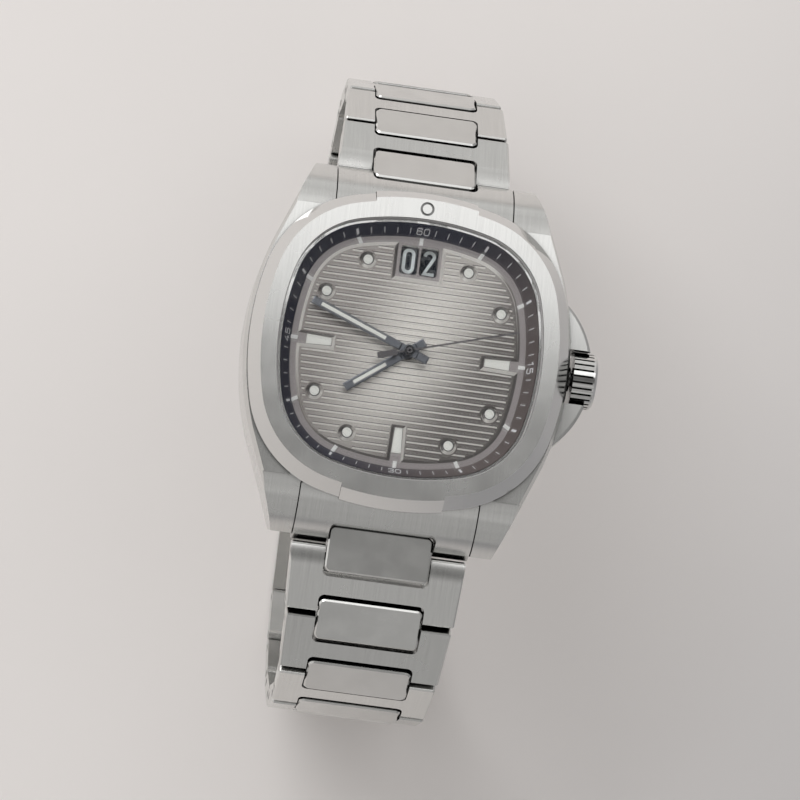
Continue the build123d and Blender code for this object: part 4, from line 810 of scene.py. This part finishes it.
def figure_strokes(figure, wide, high, round_off):
    """Strokes of one figure, each as (points, whether it is closed)."""
    middle = high * 0.53
    small = min(round_off, middle / 2, wide / 2)
    if figure == 0:
        return [(loop_box(0.0, high, wide, round_off), True)]
    if figure == 1:
        return [([(wide * 0.12, high * 0.76), (wide * 0.62, high), (wide * 0.62, 0.0)], False)]
    if figure == 2:
        top = bend(round_off, high - round_off, round_off, 180, 90)
        turn = bend(wide - round_off, high - round_off, round_off, 90, -20)
        return [(top + turn + [(wide * 0.04, 0.0), (wide * 1.16, 0.0)], False)]
    if figure == 3:
        top = bend(small, high - small, small, 170, 90)
        top += bend(wide - small, high - small, small, 90, 0)
        waist = bend(wide - small, middle + small, small, 0, -90)
        return [(top + waist, False), (bowl(middle, wide, small), False),
                ([(wide * 0.35, middle), (wide - small, middle)], False)]
    if figure == 4:
        return [([(wide * 0.66, high), (0.0, high * 0.26), (wide, high * 0.26)], False),
                ([(wide * 0.76, high * 0.56), (wide * 0.76, 0.0)], False)]
    if figure == 5:
        start = [(wide * 0.94, high), (wide * 0.06, high), (wide * 0.02, high * 0.58)]
        return [(start + bowl(high * 0.6, wide, small), False)]
    if figure == 6:
        back = [(0.0, middle - small)] + bend(small, high - small, small, 180, 90)
        return [(loop_box(0.0, high * 0.58, wide, small), True),
                (back + bend(wide - small, high - small, small, 90, 15), False)]
    if figure == 7:
        return [([(0.0, high), (wide, high), (wide * 0.34, 0.0)], False)]
    if figure == 8:
        upper = loop_box(middle, high, wide, high * 0.2)
        return [(loop_box(0.0, middle, wide, small), True), (upper, True)]
    turned = figure_strokes(6, wide, high, round_off)
    return [([(wide - x, high - y) for x, y in points], closed) for points, closed in turned]


def ribbon(points, closed, width):
    """A flat band of even width along a stroke, as (left edge, right edge) pairs."""
    count = len(points)
    edges = []
    for spot in range(count):
        before = points[spot - 1] if spot or closed else points[spot]
        after = points[(spot + 1) % count] if spot < count - 1 or closed else points[spot]
        here = points[spot]
        back = (here[0] - before[0], here[1] - before[1])
        ahead = (after[0] - here[0], after[1] - here[1])
        back_size, ahead_size = math.hypot(*back), math.hypot(*ahead)
        back = (back[0] / back_size, back[1] / back_size) if back_size > 1e-9 else None
        ahead = (ahead[0] / ahead_size, ahead[1] / ahead_size) if ahead_size > 1e-9 else None
        back, ahead = back or ahead, ahead or back
        way = (back[0] + ahead[0], back[1] + ahead[1])
        size = math.hypot(*way)
        mitre = min(2.0 / size, 1.6)
        side = (-way[1] / size * width / 2 * mitre, way[0] / size * width / 2 * mitre)
        edges.append(((here[0] + side[0], here[1] + side[1]),
                      (here[0] - side[0], here[1] - side[1])))
    return edges


def drawn_figure(figure, wide, high, stroke, place):
    """Points and faces of a figure, put in space by place(across, up) from its middle."""
    inner_wide, inner_high = wide - stroke, high - stroke
    round_off = min(inner_wide * 0.46, inner_high * 0.3)
    parts = []
    for points, closed in figure_strokes(figure, inner_wide, inner_high, round_off):
        clean = [points[0]]
        for point in points[1:]:
            if math.dist(point, clean[-1]) > stroke * 0.01:
                clean.append(point)
        if closed and math.dist(clean[0], clean[-1]) < stroke * 0.01:
            clean.pop()
        edges = ribbon(clean, closed, stroke)
        spots = []
        for left, right in edges:
            spots.append(place(left[0] - inner_wide / 2, left[1] - inner_high / 2))
            spots.append(place(right[0] - inner_wide / 2, right[1] - inner_high / 2))
        count = len(edges)
        faces = []
        for spot in range(count if closed else count - 1):
            after = (spot + 1) % count
            faces.append((2 * spot, 2 * spot + 1, 2 * after + 1, 2 * after))
        parts.append((spots, faces))
    return gather(parts)


# Operators

def paint(material, *nodes):
    """Give CAD nodes a material."""
    for name in nodes:
        mesh = frame["nodes"][name].data
        mesh.materials.clear()
        mesh.materials.append(material)


def named(*starts):
    """CAD nodes whose names start with any of these."""
    return [name for name in frame["nodes"] if name.startswith(starts)]


class WATCH_OT_steel(bpy.types.Operator):
    """Finish the case, bezel, crown and bracelet"""

    bl_idname = "watch.steel"
    bl_label = "Case and bracelet steel"

    def execute(self, context):
        head, steel = settings("head"), settings("steel")
        polished_below = head.dial_height + head.bezel_top - 2 * TONE_STEP
        paint(brushed_steel("bezel_steel", "y", polished_below), "bezel")
        case = brushed_steel("case_steel", "yz", crevice=steel.case_crevice)
        paint(case, "mid_case", "end_link_12", "end_link_6")
        paint(brushed_steel("link_steel", "yz"), *named("h_link", "clasp_cover", "clasp_plate"))
        centre = polished_steel("centre_link_steel", steel.brushed, steel.link_roughness)
        paint(centre, *named("centre_link"))
        paint(fluted_steel("crown_steel", "crown"), "crown")
        paint(polished_steel("stem_steel"), "winding_stem")
        clasp = polished_steel("clasp_steel", roughness=steel.clasp_roughness)
        paint(clasp, *named("clasp_arm", "pusher"))
        back = turned_metal("caseback_steel", steel.polished, 0.24, pitch=0.00018, depth=0.000002)
        paint(back, "caseback")
        paint(polished_steel("screw_steel", roughness=steel.screw_roughness), "caseback_screws")
        return {"FINISHED"}


class WATCH_OT_crystal(bpy.types.Operator):
    """Finish the crystal, the back window and the gaskets"""

    bl_idname = "watch.crystal"
    bl_label = "Crystal and gaskets"

    def execute(self, context):
        paint(clear_crystal("crystal_glass"), "crystal", "caseback_window")
        nylon = grained("gasket_nylon", settings("crystal").gasket, size=0.0002, depth=0.000004)
        paint(nylon, "gaskets")
        return {"FINISHED"}


class WATCH_OT_dial(bpy.types.Operator):
    """Finish the dial and its luminous markers"""

    bl_idname = "watch.dial"
    bl_label = "Dial and markers"

    def execute(self, context):
        dial = settings("dial")
        paint(dial_finish(), "dial")
        glow = grained("luminous", dial.luminous, 0.55, size=0.00006, depth=0.000004, spread=0.03)
        paint(glow, "hour_markers")
        foot = level(dial.track_height) + dial.print_height
        top = foot + dial.print_height
        outer = dial.pip_radius + dial.rim_width
        sections = [(outer, foot), (outer - 0.3 * dial.rim_width, top), (dial.pip_radius, top)]
        turns = [FULL_TURN * hour / HOURS for hour in range(HOURS) if hour % 3]
        shade_rims = [lathed(*at_turn(turn, dial.pip_circle, 0.0), sections, cap=False) for turn in turns]
        # Painted shade: a dark ring round each round marker.
        dark = grained("pip_rim_dark", dial.rim, roughness=0.35, metallic=0.6)
        piece("pip_rims", *gather(shade_rims), dark, "head", "polished_steel")
        return {"FINISHED"}


class WATCH_OT_blocks(bpy.types.Operator):
    """Make the pale hour blocks on the dial's outer track"""

    bl_idname = "watch.blocks"
    bl_label = "Hour blocks"

    def execute(self, context):
        dial, outline = settings("dial"), Cushion()
        foot = level(dial.track_height) + dial.print_height
        half, rim = dial.block_width / 2, dial.block_width / 8
        blocks = []
        for hour in range(HOURS):
            turn = FULL_TURN * hour / HOURS
            middle = outline.reach(turn, dial.block_inset - dial.block_length / 8)
            middle -= 0 if hour else dial.noon_shift
            near, far = middle - dial.block_length / 2, middle + dial.block_length / 2
            top = (near + rim, far - rim, half - rim, foot + 1.5 * rim)
            blocks.append(bar(turn, [(near, far, half, foot), (near, far, half, foot + rim), top]))
        pale = grained("block_white", dial.block, roughness=0.4, depth=0.000003, spread=0.03)
        piece("hour_blocks", *gather(blocks), pale, "head", "luminous_compound")
        return {"FINISHED"}


class WATCH_OT_scale(bpy.types.Operator):
    """Finish the sloping ring and print the minute scale on it"""

    bl_idname = "watch.scale"
    bl_label = "Minute scale"

    def execute(self, context):
        scale, outline = settings("scale"), Cushion()
        paint(ring_finish(), "chapter_ring")
        ink = grained("scale_ink", scale.mark, spread=0.04)
        thin, bold, figures = [], [], []
        for minute in range(MINUTES):
            turn = FULL_TURN * minute / MINUTES
            if minute % FIGURE_MINUTES == 0:
                figures += self.figures(outline, turn, minute or MINUTES)
            elif minute % BOLD_MINUTES == 0:
                bold.append(self.mark(outline, turn, scale.bold_width))
            else:
                thin.append(self.mark(outline, turn, scale.tick_width))
        piece("minute_marks", *gather(thin), ink, "head", "ring_print")
        piece("five_minute_marks", *gather(bold), ink, "head", "ring_print")
        piece("minute_figures", *gather(figures), ink, "head", "ring_print")
        return {"FINISHED"}

    def figures(self, outline, turn, value):
        """The two figures of a value on the ring, upright at the top and at the bottom."""
        scale = settings("scale")
        way = -1 if 2 * turn == FULL_TURN else 1
        out = outline.reach(turn, (scale.tick_near + scale.tick_far) / 2)
        shift = (scale.figure_width + scale.figure_gap) / 2
        size = scale.figure_width, scale.figure_height, scale.figure_stroke

        def place(across, up):
            return outline.on_ring(*at_turn(turn, out + way * up, way * across))
        tens, units = divmod(value, 10)
        return [drawn_figure(tens, *size, lambda across, up: place(across - shift, up)),
                drawn_figure(units, *size, lambda across, up: place(across + shift, up))]

    def mark(self, outline, turn, wide):
        """One mark across the slope of the ring."""
        scale = settings("scale")
        near, far = outline.reach(turn, scale.tick_near), outline.reach(turn, scale.tick_far)
        points, faces = [], []
        for step in range(MARK_STEPS + 1):
            along = near + (far - near) * step / MARK_STEPS
            for side in (-wide / 2, wide / 2):
                points.append(outline.on_ring(*at_turn(turn, along, side)))
        for first in range(0, 2 * MARK_STEPS, 2):
            faces.append((first, first + 1, first + 3, first + 2))
        return points, faces


class WATCH_OT_date(bpy.types.Operator):
    """Finish the two date discs and print their figures"""

    bl_idname = "watch.date"
    bl_label = "Date discs"

    def execute(self, context):
        date = settings("date")
        black = grained("date_black", date.disc, size=0.00008, depth=0.000002, shine=0.1)
        paint(black, "date_disc_tens", "date_disc_units")
        ink = grained("date_ink", date.figure, size=0.00006, spread=0.03)
        place = (date.tens_x, date.place_y, date.tens_height)
        self.print_disc("tens_figures", "date_disc_tens", TENS_FIGURES, SHOWN_TENS, place, ink)
        place = (date.units_x, date.place_y + date.units_lift, date.units_height)
        self.print_disc("units_figures", "date_disc_units", UNITS_FIGURES, SHOWN_UNITS, place, ink)
        return {"FINISHED"}

    def print_disc(self, name, node, count, shown, middle, ink):
        """Figures round one disc, with the shown one upright in its window."""
        date = settings("date")
        across_place, up_place, height = middle
        z = level(height) + settings("dial").print_height
        parts = []
        for figure in range(count):
            turn = FULL_TURN * (figure - shown) / count

            def place(across, up, turn=turn):
                return (*at_turn(turn, up_place + up, across_place + across), z)
            parts.append(drawn_figure(figure, date.width, date.height, date.stroke, place))
        piece(name, *gather(parts), ink, frame["nodes"][node]["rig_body"], "date_disc_print")


class WATCH_OT_hands(bpy.types.Operator):
    """Finish the hands and make their faceted tops and luminous strips"""

    bl_idname = "watch.hands"
    bl_label = "Hands"

    def execute(self, context):
        hands, dial = settings("hands"), settings("dial")
        metal = grained("hand_metal", hands.metal, roughness=0.32, size=0.00006, depth=0.000002,
                        metallic=0.9, spread=0.06)
        dark = grained("seconds_metal", hands.seconds, roughness=0.36, size=0.00006, depth=0.000002,
                       metallic=0.8, spread=0.06)
        glow = grained("hand_luminous", dial.luminous, roughness=0.55, depth=0.000003, spread=0.03)
        paint(metal, "hour_hand", "minute_hand")
        paint(dark, "seconds_hand")
        for kind in ("hour", "minute"):
            name = kind + "_hand"
            body = frame["nodes"][name]["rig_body"]
            parts = ("turn", "level", "reach", "tail", "width")
            turn, height, reach, tail, width = (getattr(hands, f"{kind}_{part}") for part in parts)
            floor = level(height)
            facets = self.top(turn, floor, reach, tail, width / 2)
            piece(name + "_facets", *facets, metal, body, "hand_metal")
            piece(name + "_strip", *self.strip(turn, floor, reach), glow, body, "luminous_compound")
        cap = polished_steel("cap_metal", hands.cap, hands.cap_roughness)
        piece("cap_ring", *self.cap(), cap, frame["nodes"]["seconds_hand"]["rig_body"], "hand_metal")
        return {"FINISHED"}

    def cap(self):
        """A raised ring and the arbor's end on the cap of the seconds hand."""
        hands = settings("hands")
        foot, wide = level(hands.cap_height), hands.cap_radius
        ring, end = ([(wide * size, foot + hands.crest * rise) for size, rise in shares]
                     for shares in (CAP_RING_SHARES, CAP_END_SHARES))
        return gather([lathed(0.0, 0.0, ring, cap=False), lathed(0.0, 0.0, end)])

    def strip(self, turn, floor, reach):
        """A luminous strip in the slot of a hand."""
        hands = settings("hands")
        near, far, half = hands.near, reach - hands.tip, hands.slot_half
        low, high = floor + hands.crest * 0.2, floor + hands.crest * 0.7
        bevel, top = hands.strip_bevel, high + hands.strip_bevel / 2
        return bar(turn, [(near, far, half, low), (near, far, half, high),
                          (near + bevel, far - bevel, half * 0.75, top)])

    def top(self, turn, floor, reach, tail, half):
        """Sloped and flat facets on a hand's blade, open over its strip, and a roof on its tail."""
        hands = settings("hands")
        crest = floor + hands.crest
        edge, slot, hub, far = hands.edge, hands.slot_half, hands.hub, reach - hands.tip
        blade = bar(turn, [(hub, reach, half, floor),
                           (hub + edge, reach - edge, half - edge, crest),
                           (hands.near, far, slot * 1.25, crest),
                           (hands.near, far, slot, floor)], cap=False)
        roof = bar(turn, [(-tail, -hub, half, floor),
                          (-tail + edge, -hub - edge, half - edge, crest)])
        return gather([blade, roof])


class WATCH_OT_movement(bpy.types.Operator):
    """Finish the movement and set jewels and screws in its bridges"""

    bl_idname = "watch.movement"
    bl_label = "Movement"

    def execute(self, context):
        movement = settings("movement")
        plate, pitch = movement.plate, movement.stripe_pitch
        paint(striped_metal("bridge_stripes", plate, pitch), "bridges")
        paint(striped_metal("rotor_stripes", scaled(plate, 1.05), pitch * 0.8), "rotor")
        base = turned_metal("plate_metal", scaled(plate, 0.85), 0.3, pitch=0.0006, depth=0.00001)
        paint(base, "main_plate")
        drum = turned_metal("barrel_metal", scaled(plate, 0.9), 0.25, pitch=0.0003, depth=0.000004)
        paint(drum, "mainspring_barrel")
        paint(polished_steel("balance_metal", movement.gilt, 0.2), "balance_wheel")
        black = grained("ring_plastic", movement.plastic, size=0.0003, depth=0.000006)
        paint(black, "movement_ring")
        red = grained("jewel_red", movement.jewel, 0.12, size=0.0004, depth=0.0000005, spread=0.1)
        steel = polished_steel("movement_screw_steel", movement.screw, 0.18)
        gilt = polished_steel("setting_gilt", movement.gilt, 0.15)
        face = level(movement.bridge_floor)
        jewel, screw = movement.jewel_radius, movement.screw_radius
        for name, places, radius, shares, count, cap, finish in (
                ("bridge_jewels", JEWEL_PLACES, jewel, JEWEL_SHARES, 24, True, red),
                ("jewel_settings", JEWEL_PLACES, jewel, SETTING_SHARES, 32, False, gilt),
                ("bridge_screws", SCREW_PLACES, screw, SCREW_SHARES, 32, True, steel)):
            sections = [(radius * wide, face - radius * proud) for wide, proud in shares]
            parts = [lathed(x, y, sections, count, cap) for x, y in places]
            piece(name, *gather(parts), finish, "head", "movement_metal")
        return {"FINISHED"}


class WATCH_OT_stage(bpy.types.Operator):
    """Set up the floor, the lamps, the sky and the camera"""

    bl_idname = "watch.stage"
    bl_label = "Stage"

    def execute(self, context):
        stage = settings("stage")
        self.floor(stage)
        self.sky(stage)
        self.lamp("key_lamp", stage.key_place, (stage.key_length, stage.key_width), stage.key_power,
                  (0.0, 0.0, level(0.0)))
        self.lamp("panel_lamp", stage.panel_place, (stage.panel_length, stage.panel_width),
                  stage.panel_power, (stage.panel_place[0], stage.panel_place[1], 0.0))
        camera = bpy.data.cameras.new("camera")
        camera.lens = stage.lens
        camera.sensor_width = SENSOR_WIDTH
        camera.clip_start = CLIP_START
        placed = bpy.data.objects.new("camera", camera)
        placed.location = stage.camera_place
        placed.rotation_mode = "ZYX"
        placed.rotation_euler = (stage.camera_pitch, stage.camera_yaw, stage.camera_roll)
        bpy.context.scene.collection.objects.link(placed)
        bpy.context.scene.camera = placed
        bpy.context.scene.view_settings.view_transform = "Standard"
        return {"FINISHED"}

    def floor(self, stage):
        """A plain pale floor with a painted shadow that darkens it towards the right."""
        look = Finish("floor_plain")
        shade = look.mottled(look.noise(FLOOR_MOTTLE), stage.floor, 0.98, 1.02)
        # Painted shadow towards the right.
        painted_shadow = look.ramp(look.dot(look.place, stage.fall_way), *FLOOR_SHADOW_REACH)
        shade = look.mix(painted_shadow, shade, stage.far_floor)
        mesh = bpy.data.meshes.new("floor")
        half, low = FLOOR_HALF, cad_bounds[0][2]
        corners = [(-half, -half, low), (half, -half, low), (half, half, low), (-half, half, low)]
        mesh.from_pydata(corners, [], [(0, 1, 2, 3)])
        mesh.materials.append(look.finish(Base_Color=shade, Roughness=FLOOR_ROUGHNESS))
        plane = bpy.data.objects.new("floor", mesh)
        bpy.context.scene.collection.objects.link(plane)

    def sky(self, stage):
        """An uneven sky with a dark patch straight above, brighter towards the key lamp."""
        world = bpy.data.worlds.new("sky")
        bpy.context.scene.world = world
        world.use_nodes = True
        look = Nodes(world.node_tree)
        way = look.add("ShaderNodeTexCoord", {}).outputs["Generated"]
        up = look.split(way)["Z"]
        height = look.ramp(up, stage.patch, 1.0, stage.horizon, stage.overhead, kind="LINEAR")
        lean = look.math("ADD", look.dot(way, (stage.lean_x, stage.lean_y, 0.0)), 1.0)
        inputs = {"Vector": way, "Scale": stage.window_count, "Detail": 1.0}
        patches = look.add("ShaderNodeTexNoise", inputs)
        dark = stage.window_dark
        uneven = look.ramp(patches.outputs[0], *WINDOW_BAND, dark, 2.0 - dark, kind="LINEAR")
        strength = look.math("MULTIPLY", uneven, look.math("MULTIPLY", height, lean))
        background = world.node_tree.nodes["Background"]
        look.feed(background.inputs["Strength"], strength)
        look.feed(background.inputs["Color"], stage.sky)

    def lamp(self, name, place, size, power, target):
        """A soft lamp that faces a target."""
        light = bpy.data.lights.new(name, "AREA")
        light.shape = "RECTANGLE"
        light.size, light.size_y = size
        light.energy = power
        placed = bpy.data.objects.new(name, light)
        placed.location = place
        aim = Vector(target) - placed.location
        placed.rotation_euler = aim.to_track_quat("-Z", "Y").to_euler()
        bpy.context.scene.collection.objects.link(placed)


OPERATORS = (
    WATCH_OT_steel,
    WATCH_OT_crystal,
    WATCH_OT_dial,
    WATCH_OT_blocks,
    WATCH_OT_scale,
    WATCH_OT_date,
    WATCH_OT_hands,
    WATCH_OT_movement,
    WATCH_OT_stage,
)


class WATCH_PT_pieces(bpy.types.Panel):
    """Lists the steps that finish the watch"""

    bl_idname = "WATCH_PT_pieces"
    bl_label = "Cushion case watch"
    bl_space_type = "VIEW_3D"
    bl_region_type = "UI"
    bl_category = "Watch"

    def draw(self, context):
        for operator in OPERATORS:
            self.layout.operator(operator.bl_idname)
        for group, kind in SETTINGS.items():
            box = self.layout.box()
            box.label(text=group.capitalize())
            for name in kind.__annotations__:
                box.prop(settings(group), name)


def register():
    """Register the settings, the operators and the panel."""
    for group, kind in SETTINGS.items():
        bpy.utils.register_class(kind)
        setattr(bpy.types.Scene, "watch_" + group, PointerProperty(type=kind))
    for operator in OPERATORS:
        bpy.utils.register_class(operator)
    bpy.utils.register_class(WATCH_PT_pieces)


def unregister():
    """Take the panel, the operators and the settings away again."""
    bpy.utils.unregister_class(WATCH_PT_pieces)
    for operator in reversed(OPERATORS):
        bpy.utils.unregister_class(operator)
    for group, kind in reversed(SETTINGS.items()):
        delattr(bpy.types.Scene, "watch_" + group)
        bpy.utils.unregister_class(kind)


def main():
    """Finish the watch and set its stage."""
    register()
    bpy.ops.watch.steel()
    bpy.ops.watch.crystal()
    bpy.ops.watch.dial()
    bpy.ops.watch.blocks()
    bpy.ops.watch.scale()
    bpy.ops.watch.date()
    bpy.ops.watch.hands()
    bpy.ops.watch.movement()
    bpy.ops.watch.stage()


if __name__ == "__main__":
    main()
